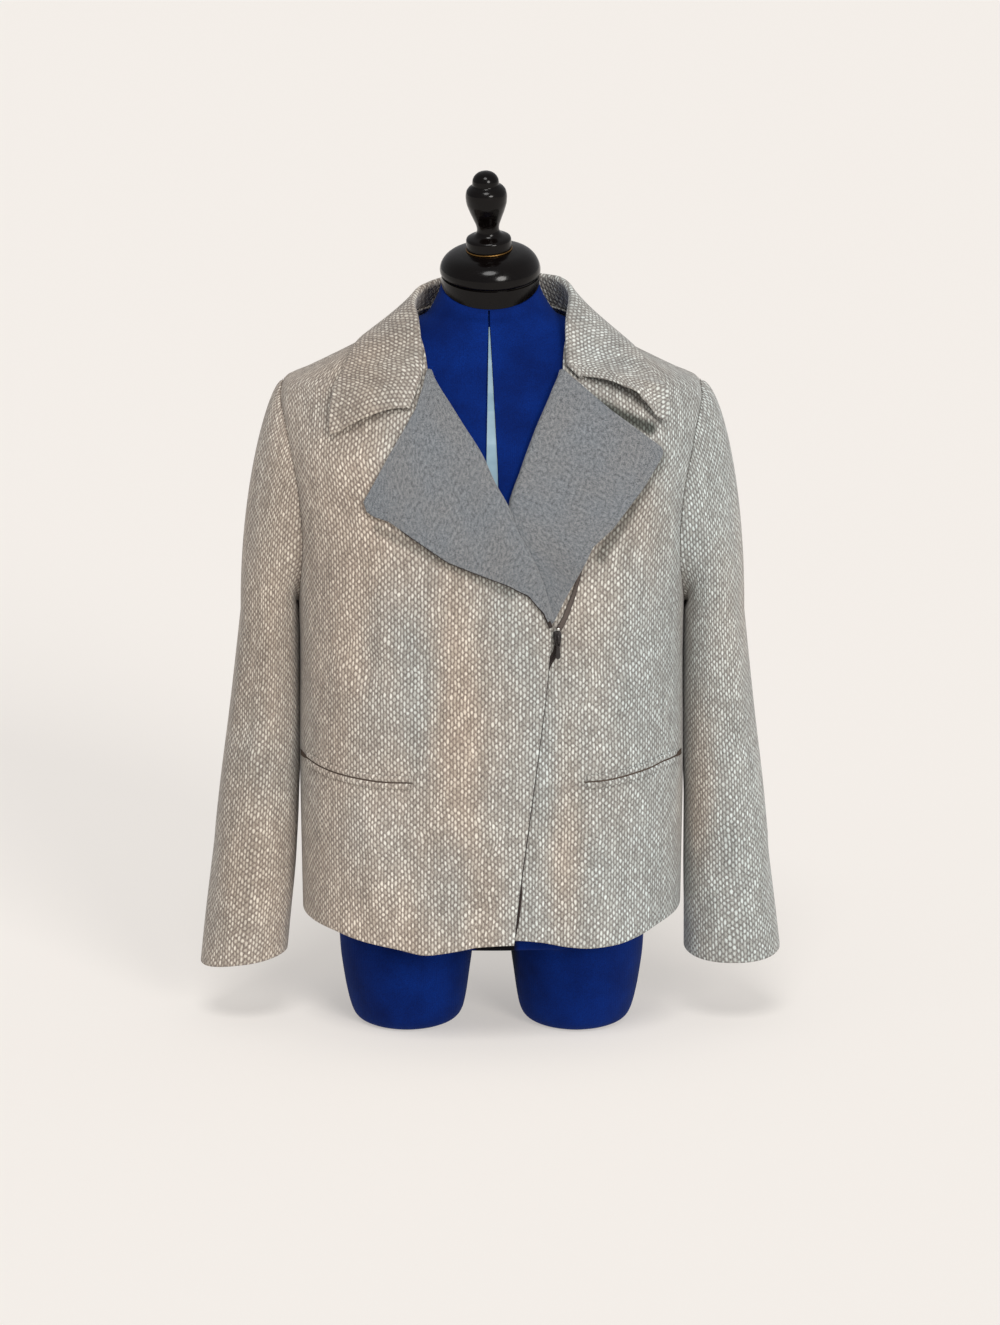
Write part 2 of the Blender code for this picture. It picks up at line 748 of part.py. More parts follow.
# The collar from the wearer's right front end (0) round the neck to the left one (1)
COLLAR_COLUMNS = ("along", "x", "y", "z")
COLLAR_SEAM = Table(COLLAR_COLUMNS, (
    (0.00, -86.0, -90, 636), (0.04, -79.0, -75, 655), (0.08, -73.5, -63, 672),
    (0.17, -71.5, -42, 698), (0.27, -86.0, 2, 713), (0.37, -66.0, 48, 716),
    (0.50, 0.0, 74, 723), (0.63, 66.0, 48, 716), (0.73, 86.0, 2, 713),
    (0.83, 76.0, -42, 702), (0.92, 79.0, -62, 678), (0.96, 85.0, -64, 673), (1.00, 93.0, -66, 666),
))
COLLAR_ROLL = Table(COLLAR_COLUMNS, (
    (0.00, -79.5, -93, 636), (0.04, -73.0, -79, 653), (0.08, -68.0, -68, 671),
    (0.17, -70.5, -41, 707), (0.27, -74.5, 4, 729), (0.37, -60.0, 41, 741),
    (0.50, 0.0, 72, 748), (0.63, 63.0, 42, 748), (0.73, 78.5, 4, 737),
    (0.83, 74.0, -40, 712), (0.92, 74.5, -64, 680), (0.96, 80.0, -68, 673), (1.00, 87.0, -71, 666),
))
COLLAR_EDGE = Table(COLLAR_COLUMNS, (
    (0.00, -150.5, -84, 609), (0.04, -152.5, -74, 630), (0.08, -149.5, -60, 647),
    (0.17, -141.0, -36, 671), (0.27, -129.0, 8, 690), (0.37, -92.0, 72, 682),
    (0.50, 0.0, 92, 674), (0.63, 92.0, 72, 684), (0.73, 136.0, 8, 688),
    (0.83, 153.0, -36, 667), (0.92, 161.0, -56, 645), (0.96, 163.0, -66, 632),
    (1.00, 162.0, -74, 619),
))
# Heights of the fall above the shell and the radius of the roll
COLLAR_FALL = Table(("along", "edge", "middle", "radius"), (
    (0.00, 4.8, 7.6, 2.0), (0.08, 4.6, 7.0, 2.0), (0.20, 4.4, 5.0, 2.2), (0.30, 4.4, 4.6, 2.8),
    (0.50, 4.4, 4.6, 3.2), (0.70, 4.4, 4.6, 2.8), (0.80, 4.4, 5.0, 2.2), (0.92, 5.5, 9.0, 2.0),
    (1.00, 6.5, 14.0, 2.0),
))
COLLAR_STATIONS = 36
STAND_STEPS = 2
ROLL_STEPS = 4
FALL_STEPS = 6
SEAM_HEIGHT = 3.6
FALL_HEIGHT = 4.4
OVER_STAND = 1.8
# How the fall leaves the roll, its reach and where it passes the stand, as shares
FALL_LEAVE = 0.6
FALL_REACH = 0.3
STAND_SHARE = 0.4


def collar_section(share):
    """Points across the collar at a share of its length, from the neck seam to its edge."""
    radius = COLLAR_FALL.at(share, "radius")
    seam = seat(COLLAR_SEAM.point(share), SEAM_HEIGHT)
    crest = COLLAR_ROLL.point(share)
    if height_above(JACKET_SHELL, crest) < SEAM_HEIGHT + radius:
        crest = seat(crest, SEAM_HEIGHT + radius)
    edge = seat(COLLAR_EDGE.point(share), COLLAR_FALL.at(share, "edge"))
    normal = outward(JACKET_SHELL, crest)
    rise_way = unit(crest - normal * radius - seam)
    out_way = unit(normal - rise_way * np.dot(normal, rise_way))
    centre = crest - rise_way * radius
    foot = centre - out_way * radius
    line = [seam + (foot - seam) * step / STAND_STEPS for step in range(STAND_STEPS)]
    for step in range(ROLL_STEPS + 1):
        angle = math.pi * step / ROLL_STEPS
        line.append(centre + (rise_way * math.sin(angle) - out_way * math.cos(angle)) * radius)
    start = line[-1]
    length = np.linalg.norm(edge - start)
    fall_way = unit(edge - start)
    leave = unit(fall_way - rise_way * FALL_LEAVE)
    middle = COLLAR_FALL.at(share, "middle") - FALL_HEIGHT
    for step in range(1, FALL_STEPS + 1):
        t = step / FALL_STEPS
        reach = length * FALL_REACH
        point = bezier(start, start + leave * reach, edge - fall_way * reach, edge, t)
        lowest = FALL_HEIGHT + OVER_STAND * (1.0 - ease(t / STAND_SHARE))
        lowest += middle * math.sin(math.pi * t)
        if t < 1.0 and height_above(JACKET_SHELL, point) < lowest:
            point = seat(point, lowest)
        line.append(point)
    return line


def build_collar(material):
    grid = np.array([collar_section(i / (COLLAR_STATIONS - 1)) for i in range(COLLAR_STATIONS)])
    normals = grid_normals(grid, closed=False)
    half = TWEED * 0.5
    return cloth_wall("collar", grid + normals * half, grid - normals * half, material)


# --------------------------------------------------------------------- pockets

# Opening line of each pocket, as its height by x
RIGHT_POCKET = Table(("x", "z"), (
    (-180, 283), (-168, 280), (-152, 277.5), (-128, 275.5), (-104, 274.5), (-79, 275),
))
LEFT_POCKET = Table(("x", "z"), (
    (94, 275), (118, 276.5), (139, 279.5), (157, 282.5), (168, 285), (180, 285),
))
JET_END = 3.0


def build_jet(name, front, line, above, material):
    """One jet: a folded strip of tweed along one side of the pocket's opening.

    Its cross lines stand on the columns of the front's own points.
    """
    side = 1.0 if above else -1.0
    near = side * JET_OPENING * 0.5
    far = side * (JET_OPENING * 0.5 + JET_WIDTH)
    first, last = line.rows[0, 0], line.rows[-1, 0]
    level = line.at(0.5 * (first + last), "z")
    columns = [front.body_point(level, i / BODY_COLUMNS, 0.0)[0] for i in range(BODY_COLUMNS + 1)]
    inside = [x for x in columns if first + JET_END < x < last - JET_END]
    face_side = []
    back_side = []
    for x in sorted([first, last] + inside):
        z = line.at(x, "z")
        face_side.append([front.place(x, z + reach, TWEED + LAYER_GAP + JET_THICKNESS)
                          for reach in (near, far)])
        back_side.append([front.place(x, z + reach, TWEED + LAYER_GAP) for reach in (near, far)])
    return cloth_wall(name, np.array(face_side), np.array(back_side), material)


# ------------------------------------------------------------------------- zip

ZIP_STEPS = 12
# Where the right chain starts on the lapel's edge and how far it runs, as shares
RIGHT_ZIP_START = 0.05
RIGHT_ZIP_RUN = 0.72
ZIP_TANGENT = 0.02
RIGHT_ZIP_LIFT = 0.2
# Length over which the closed chain runs in under the right front
CLOSED_TURN_IN = 60.0
LEFT_ZIP = ((68.5, 431.5), (73.5, 442), (80.5, 464), (88.5, 488))


def build_zip_right(front, material):
    """The row of teeth along the outer edge of the right lapel."""
    middles = []
    normals = []
    for step in range(ZIP_STEPS + 1):
        share = RIGHT_ZIP_START + RIGHT_ZIP_RUN * step / ZIP_STEPS
        x, z = along_path(front.lapel_edge, share)
        before = along_path(front.lapel_edge, share - ZIP_TANGENT)
        after = along_path(front.lapel_edge, share + ZIP_TANGENT)
        along = unit(after - before)
        x = x - along[1] * (CHAIN_WIDTH * 0.5 + SEAM_GAP)
        z = z + along[0] * (CHAIN_WIDTH * 0.5 + SEAM_GAP)
        middles.append(front.place(x, z, TWEED * 2.0 + LAPEL_SPACE * 0.5 + RIGHT_ZIP_LIFT))
        normals.append(outward(JACKET_SHELL, middles[-1]))
    return path_strip("zip_chain_right", middles, normals, CHAIN_WIDTH, CHAIN_THICKNESS, material)


def build_zip_left(front, material):
    """The row of teeth on the left front, beside the edge of the left lapel."""
    middles = []
    normals = []
    for step in range(ZIP_STEPS + 1):
        x, z = along_path(LEFT_ZIP, step / ZIP_STEPS)
        middles.append(front.place(x, z, TWEED + LAYER_GAP * 2.0 + CHAIN_THICKNESS * 0.5))
        normals.append(outward(JACKET_SHELL, middles[-1]))
    return path_strip("zip_chain_left", middles, normals, CHAIN_WIDTH, CHAIN_THICKNESS, material)


def build_zip_closed(front, material):
    """The joined teeth below the slider, under the edge of the right front."""
    middles = []
    normals = []
    top = SLIDER_Z - SLIDER_LENGTH * 0.5 - SEAM_GAP
    for step in range(ZIP_STEPS + 1):
        z = top - CLOSED_LENGTH * step / ZIP_STEPS
        hidden = RIGHT_INNER.at(z, "x") - CHAIN_WIDTH
        x = SLIDER_X + (hidden - SLIDER_X) * ease((top - z) / CLOSED_TURN_IN)
        middles.append(front.place(x, z, TWEED + LAYER_GAP * 2.0 + CHAIN_THICKNESS * 0.5))
        normals.append(outward(JACKET_SHELL, middles[-1]))
    return path_strip("zip_chain_closed", middles, normals, CHAIN_WIDTH, CHAIN_THICKNESS, material)


def box_piece(name, size, centre, bevel=0.0):
    """A box with cut edges about a point, in millimetres."""
    mesh = bpy.data.meshes.new(name)
    bm = bmesh.new()
    bmesh.ops.create_cube(bm, size=1.0)
    bmesh.ops.scale(bm, vec=Vector(size) * MM, verts=bm.verts)
    if bevel > 0.0:
        bmesh.ops.bevel(bm, geom=bm.edges, offset=bevel * MM, segments=1, affect="EDGES")
    bmesh.ops.translate(bm, vec=Vector(centre) * MM, verts=bm.verts)
    bm.to_mesh(mesh)
    bm.free()
    return bpy.data.objects.new(name, mesh)


def prism_piece(name, outline, width):
    """An outline in the plane of Y and Z, made solid across X."""
    mesh = bpy.data.meshes.new(name)
    count = len(outline)
    points = [(side * 0.5 * width * MM, y * MM, z * MM) for side in (-1, 1) for y, z in outline]
    sides = [(i, (i + 1) % count, count + (i + 1) % count, count + i) for i in range(count)]
    ends = [tuple(reversed(range(count))), tuple(range(count, 2 * count))]
    mesh.from_pydata(points, [], sides + ends)
    bm = bmesh.new()
    bm.from_mesh(mesh)
    bmesh.ops.recalc_face_normals(bm, faces=bm.faces)
    bm.to_mesh(mesh)
    bm.free()
    return bpy.data.objects.new(name, mesh)


def add_boolean(piece, other, operation):
    """Joins or cuts with an object of the cutters' collection."""
    cutters.objects.link(other)
    other.hide_render = True
    other.display_type = "WIRE"
    other.parent = piece.parent
    modifier = piece.modifiers.new(operation.lower() + "_" + other.name, "BOOLEAN")
    modifier.operation = operation
    modifier.object = other
    modifier.solver = "EXACT"


def slider_place(across, out, up):
    """A point of the slider's own axes, whose origin is the middle of its underside."""
    turn = math.radians(SLIDER_TURN)
    base = front_place(SLIDER_X, SLIDER_Z, left_height(SLIDER_X, SLIDER_Z) + TWEED + SLIDER_LIFT)
    return base + np.array([across * math.cos(turn) + out * math.sin(turn),
                            across * math.sin(turn) - out * math.cos(turn), up])


def add_holder(name, point):
    holder = bpy.data.objects.new(name, None)
    holder.location = Vector(point * MM)
    holder.rotation_euler = (0.0, 0.0, math.radians(SLIDER_TURN))
    parts.objects.link(holder)
    return holder


def build_slider(material):
    """The slider: a flat body with a raised bridge that the pull tab hangs from."""
    slider = box_piece("zip_slider", (SLIDER_WIDTH, SLIDER_THICKNESS, SLIDER_LENGTH),
                       (0.0, -SLIDER_THICKNESS * 0.5, 0.0), bevel=SLIDER_BEVEL)
    slider.data.materials.append(material)
    slider.parent = add_holder("zip_slider_seat", slider_place(0.0, 0.0, 0.0))
    parts.objects.link(slider)
    low = -SLIDER_THICKNESS + BRIDGE_FOOT
    top = -SLIDER_THICKNESS - BRIDGE_HEIGHT
    end = BRIDGE_LENGTH * 0.5
    arch = ((low, -end), (top, -end), (top, end), (low, end),
            (low, end - BRIDGE_BAR), (top + BRIDGE_BAR, end - BRIDGE_BAR),
            (top + BRIDGE_BAR, BRIDGE_BAR - end), (low, BRIDGE_BAR - end))
    bridge = prism_piece("bridge", arch, BRIDGE_WIDTH)
    add_boolean(slider, bridge, "UNION")


def build_pull_tab(material):
    """The pull tab: a flat plate that swings on the bar at the top of its window."""
    half = TAB_WIDTH * 0.5
    bar = TAB_THICKNESS * 0.5
    end = bar - TAB_LENGTH
    edge = ((-half + 0.5, bar), (half - 0.5, bar), (half - 0.5, -6.0), (half, -8.0),
            (half, end + 1.6), (half - 1.4, end), (-half + 1.4, end), (-half, end + 1.6),
            (-half, -8.0), (-half + 0.5, -6.0))
    inner = TAB_WINDOW * 0.5
    window = ((-inner, -bar), (-inner, -bar - TAB_WINDOW_LENGTH),
              (inner, -bar - TAB_WINDOW_LENGTH), (inner, -bar))
    outline = bpy.data.curves.new("zip_pull", "CURVE")
    outline.dimensions = "2D"
    outline.fill_mode = "BOTH"
    outline.extrude = TAB_THICKNESS * 0.5 * MM
    for ring in (edge, window):
        spline = outline.splines.new("POLY")
        spline.points.add(len(ring) - 1)
        for point, (x, y) in zip(spline.points, ring):
            point.co = (x * MM, y * MM, 0.0, 1.0)
        spline.use_cyclic_u = True
    outline.materials.append(material)
    tab = bpy.data.objects.new("zip_pull", outline)
    tab.parent = add_holder("zip_pull_hinge",
                            slider_place(0.0, SLIDER_THICKNESS + TAB_HINGE_OUT, TAB_HINGE_UP))
    tab.rotation_euler = (math.radians(90.0), 0.0, 0.0)
    parts.objects.link(tab)


# ------------------------------------------------------------------ dress form

FORM_AROUND = 32
FORM_LEVELS = (72, 74, 78, 86, 105, 140, 180, 220, 270, 320, 370, 420, 465, 500, 530, 560, 590,
               615, 635, 645, 650, 656, 662, 669, 681, 692, 702, 709, 716)

# Top of the neck: a round that dips towards the front
NECK_RADIUS = 49.0
NECK_CENTRE = (-1.0, 5.0, 749.0)
NECK_DIP_FRONT = 22.0
NECK_DIP_BACK = 15.0

# The thigh stubs: level rings about their own middle line
THIGH = Table(("height", "middle", "half_width", "front", "back"), (
    (0, 85, 47, 60, 62),
    (2, 85, 51, 66, 68),
    (8, 85, 55.5, 73, 75),
    (25, 85.5, 60, 79, 82),
    (50, 86, 64, 83, 88),
    (74, 86, 67.0, 86, 92),
    (100, 86, 68.0, 88, 95),
))
THIGH_AROUND = 26
THIGH_AXIS_Y = 2.0

# The gap down the front of the torso, with the pale spine in it
GAP_TOP = 712.0
GAP_BOTTOM = 530.0
GAP_X = -2.0
GAP_DRIFT = 4.0
GAP_TOP_WIDTH = 2.0
GAP_WIDTH = 12.0
GAP_DEPTH = 4.0
GAP_STEPS = 12
# Share of the gap's length over which it widens
GAP_WIDENING = 0.7


def form_ring(z):
    return [ring_point(FORM_SHELL, 2.0 * math.pi * i / FORM_AROUND, z)
            for i in range(FORM_AROUND)]


def neck_ring(radius, lift, dip_front, dip_back):
    """A ring round the neck that dips at the front and rises at the back."""
    ring = []
    for i in range(FORM_AROUND):
        angle = 2.0 * math.pi * i / FORM_AROUND
        across, ahead = math.sin(angle), math.cos(angle)
        dip = dip_front if ahead > 0.0 else dip_back
        flat = math.sqrt(1.0 - (dip / radius) ** 2)
        ring.append(np.array(NECK_CENTRE) + np.array([
            radius * across, -radius * ahead * flat, lift - dip * ahead]))
    return ring


def thigh_ring(z, side):
    ring = []
    for i in range(THIGH_AROUND):
        angle = 2.0 * math.pi * i / THIGH_AROUND
        across, ahead = math.sin(angle), math.cos(angle)
        depth = THIGH.at(z, "front") if ahead > 0.0 else THIGH.at(z, "back")
        x = side * THIGH.at(z, "middle") + THIGH.at(z, "half_width") * across
        ring.append(np.array([x, THIGH_AXIS_Y - depth * ahead, z]))
    return ring


def gap_rows(margin, height):
    """Left edge, middle and right edge of the gap from its narrow top down."""
    rows = []
    for step in range(GAP_STEPS + 1):
        share = step / GAP_STEPS
        z = GAP_TOP - margin + (GAP_BOTTOM - GAP_TOP + 2.0 * margin) * share
        middle = GAP_X + GAP_DRIFT * share
        width = GAP_TOP_WIDTH + (GAP_WIDTH - GAP_TOP_WIDTH) * min(share / GAP_WIDENING, 1.0)
        half = 0.5 * width - margin
        row = []
        for x in (middle - half, middle, middle + half):
            point = ring_point(FORM_SHELL, shell_angle(FORM_SHELL, x, z), z)
            row.append(point + outward(FORM_SHELL, point) * height)
        rows.append(row)
    return np.array(rows)


def build_form(material):
    """The padded torso under its jersey, with two thigh stubs and a gap down the front."""
    rings = [form_ring(z) for z in FORM_LEVELS]
    rings.append(neck_ring(NECK_RADIUS + 2.5, -12.0, NECK_DIP_FRONT * 0.75, NECK_DIP_BACK * 0.6))
    rings.append(neck_ring(NECK_RADIUS, 0.0, NECK_DIP_FRONT, NECK_DIP_BACK))
    body = ring_solid("form_body", rings, material)
    levels = THIGH.rows[:, 0]
    for side, name in ((-1.0, "form_thigh_right"), (1.0, "form_thigh_left")):
        thigh = ring_solid(name, [thigh_ring(z, side) for z in levels], material)
        parts.objects.unlink(thigh)
        add_boolean(body, thigh, "UNION")
    groove = cloth_wall("form_gap", gap_rows(0.0, GAP_DEPTH), gap_rows(0.0, -GAP_DEPTH), material)
    parts.objects.unlink(groove)
    add_boolean(body, groove, "DIFFERENCE")


def build_gap_strip(material):
    """The pale spine that shows in the gap."""
    cloth_wall("form_gap_strip", gap_rows(SEAM_GAP, -GAP_DEPTH * 0.5),
               gap_rows(SEAM_GAP, LAYER_GAP - GAP_DEPTH), material)


# Neck cap, as radius and height above its rim, along an axis that leans
CAP_RIM_LIFT = 8.5
CAP_DIP = 11.0
CAP_SKIRT_RADIUS = 48.4
CAP_PROFILE = ((47.4, -1.6), (47.4, -0.4), (49.4, 0.6), (49.4, 6.0), (47.6, 12.5), (42.5, 18.5),
               (34.5, 22.6), (24.0, 24.8))
KNOB_BASE = 24.8
KNOB_PROFILE = ((21.6, 0.0), (22.2, 1.4), (22.2, 10.5), (21.0, 13.0), (14.5, 15.5), (11.2, 19.0),
                (11.2, 24.0), (13.5, 31.5), (17.2, 41.0), (19.8, 49.5), (20.4, 55.0), (19.4, 61.0),
                (16.5, 65.0), (13.2, 67.0), (12.6, 70.5), (11.4, 75.0), (7.5, 79.0), (0.0, 80.4))
KNOB_STEPS = 22
LEAN_RIGHT = 2.8
LEAN_FORWARD = 12.5


def lean_axis():
    right, forward = math.radians(LEAN_RIGHT), math.radians(LEAN_FORWARD)
    return unit(np.array([-math.sin(right), -math.sin(forward), math.cos(forward)]))


def build_cap(material):
    """The turned cap: a skirt down to the neck, a groove and a dome."""
    rings = [neck_ring(CAP_SKIRT_RADIUS, LAYER_GAP, NECK_DIP_FRONT, NECK_DIP_BACK),
             neck_ring(CAP_SKIRT_RADIUS, CAP_RIM_LIFT - 2.0, CAP_DIP, CAP_DIP)]
    for radius, height in CAP_PROFILE:
        dip = CAP_DIP * radius / NECK_RADIUS
        turned = max(height, 0.0) / KNOB_BASE * math.tan(math.radians(LEAN_RIGHT))
        rings.append([point + lean_axis() * height + np.array([0.0, 0.0, point[0] * turned])
                      for point in neck_ring(radius, CAP_RIM_LIFT, dip, dip)])
    ring_solid("form_neck_cap", rings, material)


def build_knob(material):
    """The turned knob on the cap, from one profile."""
    mesh = bpy.data.meshes.new("form_knob")
    profile = [(radius * MM, 0.0, height * MM) for radius, height in reversed(KNOB_PROFILE)]
    profile.append((0.0, 0.0, 0.0))
    edges = [(i, i + 1) for i in range(len(profile) - 1)]
    mesh.from_pydata(profile, edges, [])
    mesh.materials.append(material)
    knob = bpy.data.objects.new("form_knob", mesh)
    turn = knob.modifiers.new("turn", "SCREW")
    turn.steps = KNOB_STEPS
    turn.render_steps = KNOB_STEPS
    turn.use_merge_vertices = True
    turn.merge_threshold = 0.00001
    turn.use_normal_calculate = True
    way = lean_axis()
    rim = np.array(NECK_CENTRE) + np.array([0.0, 0.0, CAP_RIM_LIFT])
    knob.location = Vector((rim + way * (KNOB_BASE + LAYER_GAP)) * MM)
    knob.rotation_euler = Vector(way).to_track_quat("Z", "Y").to_euler()
    parts.objects.link(knob)


# ------------------------------------------------------------------- the build

for old in list(bpy.data.objects):
    bpy.data.objects.remove(old, do_unlink=True)

parts = new_collection(COLLECTION)
cutters = new_collection(COLLECTION + "_cutters")

tweed = make_material("hopsack_tweed", (0.42, 0.38, 0.31), 0.95)
flannel = make_material("grey_wool_flannel", (0.17, 0.18, 0.19), 0.95)
jersey = make_material("blue_jersey", (0.005, 0.03, 0.22), 0.9)
pale_spine = make_material("pale_blue_plastic", (0.42, 0.55, 0.62), 0.4)
gloss_black = make_material("black_gloss_plastic", (0.004, 0.004, 0.004), 0.12)
dark_metal = make_material("dark_zip_metal", (0.05, 0.045, 0.05), 0.35, 1.0)

right_front = Front(-1.0, RIGHT_INNER, RIGHT_HEM, right_height, RIGHT_FOLD_RADIUS,
                    RIGHT_LAPEL_EDGE, RIGHT_LAPEL_TOP)
left_front = Front(1.0, LEFT_INNER, LEFT_HEM, left_height, LEFT_FOLD_RADIUS,
                   LEFT_LAPEL_EDGE, LEFT_LAPEL_TOP)

build_front("front_right", right_front, tweed)
build_front("front_left", left_front, tweed)
build_facing("lapel_facing_right", right_front, flannel)
build_facing("lapel_facing_left", left_front, flannel)
build_back(tweed)
build_sleeve("sleeve_right", RIGHT_SLEEVE, RIGHT_CAP_OUT, -1.0, tweed)
build_sleeve("sleeve_left", LEFT_SLEEVE, LEFT_CAP_OUT, 1.0, tweed)
build_collar(tweed)
for jet_name, jet_front, jet_line, jet_above in (
    ("pocket_jet_right_upper", right_front, RIGHT_POCKET, True),
    ("pocket_jet_right_lower", right_front, RIGHT_POCKET, False),
    ("pocket_jet_left_upper", left_front, LEFT_POCKET, True),
    ("pocket_jet_left_lower", left_front, LEFT_POCKET, False),
):
    build_jet(jet_name, jet_front, jet_line, jet_above, tweed)
build_zip_right(right_front, dark_metal)
build_zip_left(left_front, dark_metal)
build_zip_closed(left_front, dark_metal)
build_slider(dark_metal)
build_pull_tab(dark_metal)
build_form(jersey)
build_gap_strip(pale_spine)
build_cap(gloss_black)
build_knob(gloss_black)
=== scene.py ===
import math

import bmesh
import bpy
import numpy as np
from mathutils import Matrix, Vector


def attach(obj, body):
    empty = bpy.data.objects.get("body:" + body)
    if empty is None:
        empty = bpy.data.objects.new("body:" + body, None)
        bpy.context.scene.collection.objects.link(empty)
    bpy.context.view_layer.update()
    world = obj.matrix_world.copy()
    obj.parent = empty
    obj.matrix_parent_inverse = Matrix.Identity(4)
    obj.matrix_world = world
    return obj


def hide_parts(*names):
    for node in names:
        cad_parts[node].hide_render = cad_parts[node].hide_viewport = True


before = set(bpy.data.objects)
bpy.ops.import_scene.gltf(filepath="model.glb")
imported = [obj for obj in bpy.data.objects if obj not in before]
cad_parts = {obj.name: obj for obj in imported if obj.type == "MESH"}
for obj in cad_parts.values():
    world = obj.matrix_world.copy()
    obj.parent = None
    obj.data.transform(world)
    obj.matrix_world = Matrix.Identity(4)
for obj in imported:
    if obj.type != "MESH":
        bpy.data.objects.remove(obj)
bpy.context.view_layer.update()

# --------------------------------------------------------------------- camera
# A long lens straight in front of the jacket and a little above it, looking slightly
# down, in an upright frame that is 1.3 m high where the jacket stands.
CAMERA_TILT = 12.5
CAMERA_DISTANCE = 5.5
CAMERA_TARGET = Vector((0.0085, 0.0, 0.365))
FRAME_HEIGHT = 1.325
VIEW_REACH = 60.0

tilt = math.radians(CAMERA_TILT)
camera_data = bpy.data.cameras.new("camera")
camera_data.sensor_width = 36.0
camera_data.lens = camera_data.sensor_width * CAMERA_DISTANCE / FRAME_HEIGHT
camera_data.clip_end = VIEW_REACH
camera = bpy.data.objects.new("camera", camera_data)
camera.location = CAMERA_TARGET + Vector((0.0, -math.cos(tilt), math.sin(tilt))) * CAMERA_DISTANCE
camera.rotation_euler = (math.radians(90.0) - tilt, 0.0, 0.0)
bpy.context.scene.collection.objects.link(camera)
bpy.context.scene.camera = camera
bpy.context.scene.view_settings.view_transform = "Standard"


# ------------------------------------------------------------- floor and lights
# A wide cream paper floor and soft daylight: a high beam from the front, a low one
# from the right that casts the wide shade on the left, and an even sky.
PAPER_COLOUR = "#f3eee8"
PAPER_SHADED = "#bbb7b3"
PAPER_GLOW = 0.46
FLOOR_REACH = 40.0
SKY_COLOUR = "#fdfdff"
DAYLIGHT_FROM = (0.72, -0.60, 0.35)
DAYLIGHT_LOW, DAYLIGHT_HIGH = 0.38, 0.50


def linear(colour):
    """A colour written as sRGB hex, as linear red, green, blue and alpha."""
    values = [int(colour[i:i + 2], 16) / 255.0 for i in (1, 3, 5)]
    curve = [v / 12.92 if v <= 0.04045 else ((v + 0.055) / 1.055) ** 2.4 for v in values]
    return (*curve, 1.0)


def add_node(tree, kind, inputs=None, **settings):
    """A node with its settings, its values and the links that come into it."""
    node = tree.nodes.new(kind)
    for name, value in settings.items():
        setattr(node, name, value)
    for name, value in (inputs or {}).items():
        if isinstance(value, bpy.types.NodeSocket):
            tree.links.new(value, node.inputs[name])
        else:
            node.inputs[name].default_value = value
    return node


def start_material(name, **values):
    """A new material with its shader's plain values set; gives material, tree and shader."""
    material = bpy.data.materials.new(name)
    material.use_nodes = True
    shader = material.node_tree.nodes["Principled BSDF"]
    for key, value in values.items():
        shader.inputs[key.replace("_", " ")].default_value = value
    return material, material.node_tree, shader


def add_object(name, mesh, material):
    """A mesh set in the scene, in one material."""
    mesh.materials.append(material)
    piece = bpy.data.objects.new(name, mesh)
    bpy.context.scene.collection.objects.link(piece)
    return piece


def add_beam(name, height, turn, strength, spread, colour):
    """A wide parallel beam from a height and a turn to the right of the front, in degrees."""
    beam = bpy.data.lights.new(name, "SUN")
    beam.energy = strength
    beam.angle = math.radians(spread)
    beam.color = linear(colour)[:3]
    holder = bpy.data.objects.new(name, beam)
    holder.rotation_euler = (math.radians(90.0 - height), 0.0, math.radians(turn))
    bpy.context.scene.collection.objects.link(holder)


# Painted light: the paper glows a little of itself, with no lamp beneath it, so that shade on it stays
# pale.
paper = start_material(
    "paper_with_painted_glow", Base_Color=linear(PAPER_SHADED), Roughness=0.95, Specular_IOR_Level=0.1,
    Emission_Color=linear(PAPER_COLOUR), Emission_Strength=PAPER_GLOW)[0]
floor_mesh = bpy.data.meshes.new("paper_floor")
floor_mesh.from_pydata([(x * FLOOR_REACH, y * FLOOR_REACH, 0.0)
                        for x, y in ((-1, -1), (1, -1), (1, 1), (-1, 1))], [], [(0, 1, 2, 3)])
add_object("paper_floor", floor_mesh, paper)

world = bpy.data.worlds.new("soft_daylight")
world.use_nodes = True
sky_tree = world.node_tree
sky_way = add_node(sky_tree, "ShaderNodeTexCoord").outputs["Generated"]
sky_facing = add_node(sky_tree, "ShaderNodeVectorMath", {0: sky_way, 1: DAYLIGHT_FROM},
                      operation="DOT_PRODUCT").outputs["Value"]
sky_strength = add_node(sky_tree, "ShaderNodeMapRange", {
    "Value": sky_facing, "From Min": -1.0, "From Max": 1.0,
    "To Min": DAYLIGHT_LOW, "To Max": DAYLIGHT_HIGH}).outputs[0]
sky_tree.nodes["Background"].inputs["Color"].default_value = linear(SKY_COLOUR)
sky_tree.links.new(sky_strength, sky_tree.nodes["Background"].inputs["Strength"])
# Seen directly, the sky is as pale as the paper, so that no horizon shows
sky_seen = add_node(sky_tree, "ShaderNodeBackground", {"Color": linear(PAPER_COLOUR)})
sky_mix = add_node(sky_tree, "ShaderNodeMixShader", {
    0: add_node(sky_tree, "ShaderNodeLightPath").outputs["Is Camera Ray"],
    1: sky_tree.nodes["Background"].outputs[0], 2: sky_seen.outputs[0]})
sky_tree.links.new(sky_mix.outputs[0], sky_tree.nodes["World Output"].inputs["Surface"])
bpy.context.scene.world = world
add_beam("high_front", 54.0, -3.0, 1.36, 22.0, "#fffefc")
add_beam("low_right", 20.0, 26.0, 1.75, 20.0, "#fffcf8")


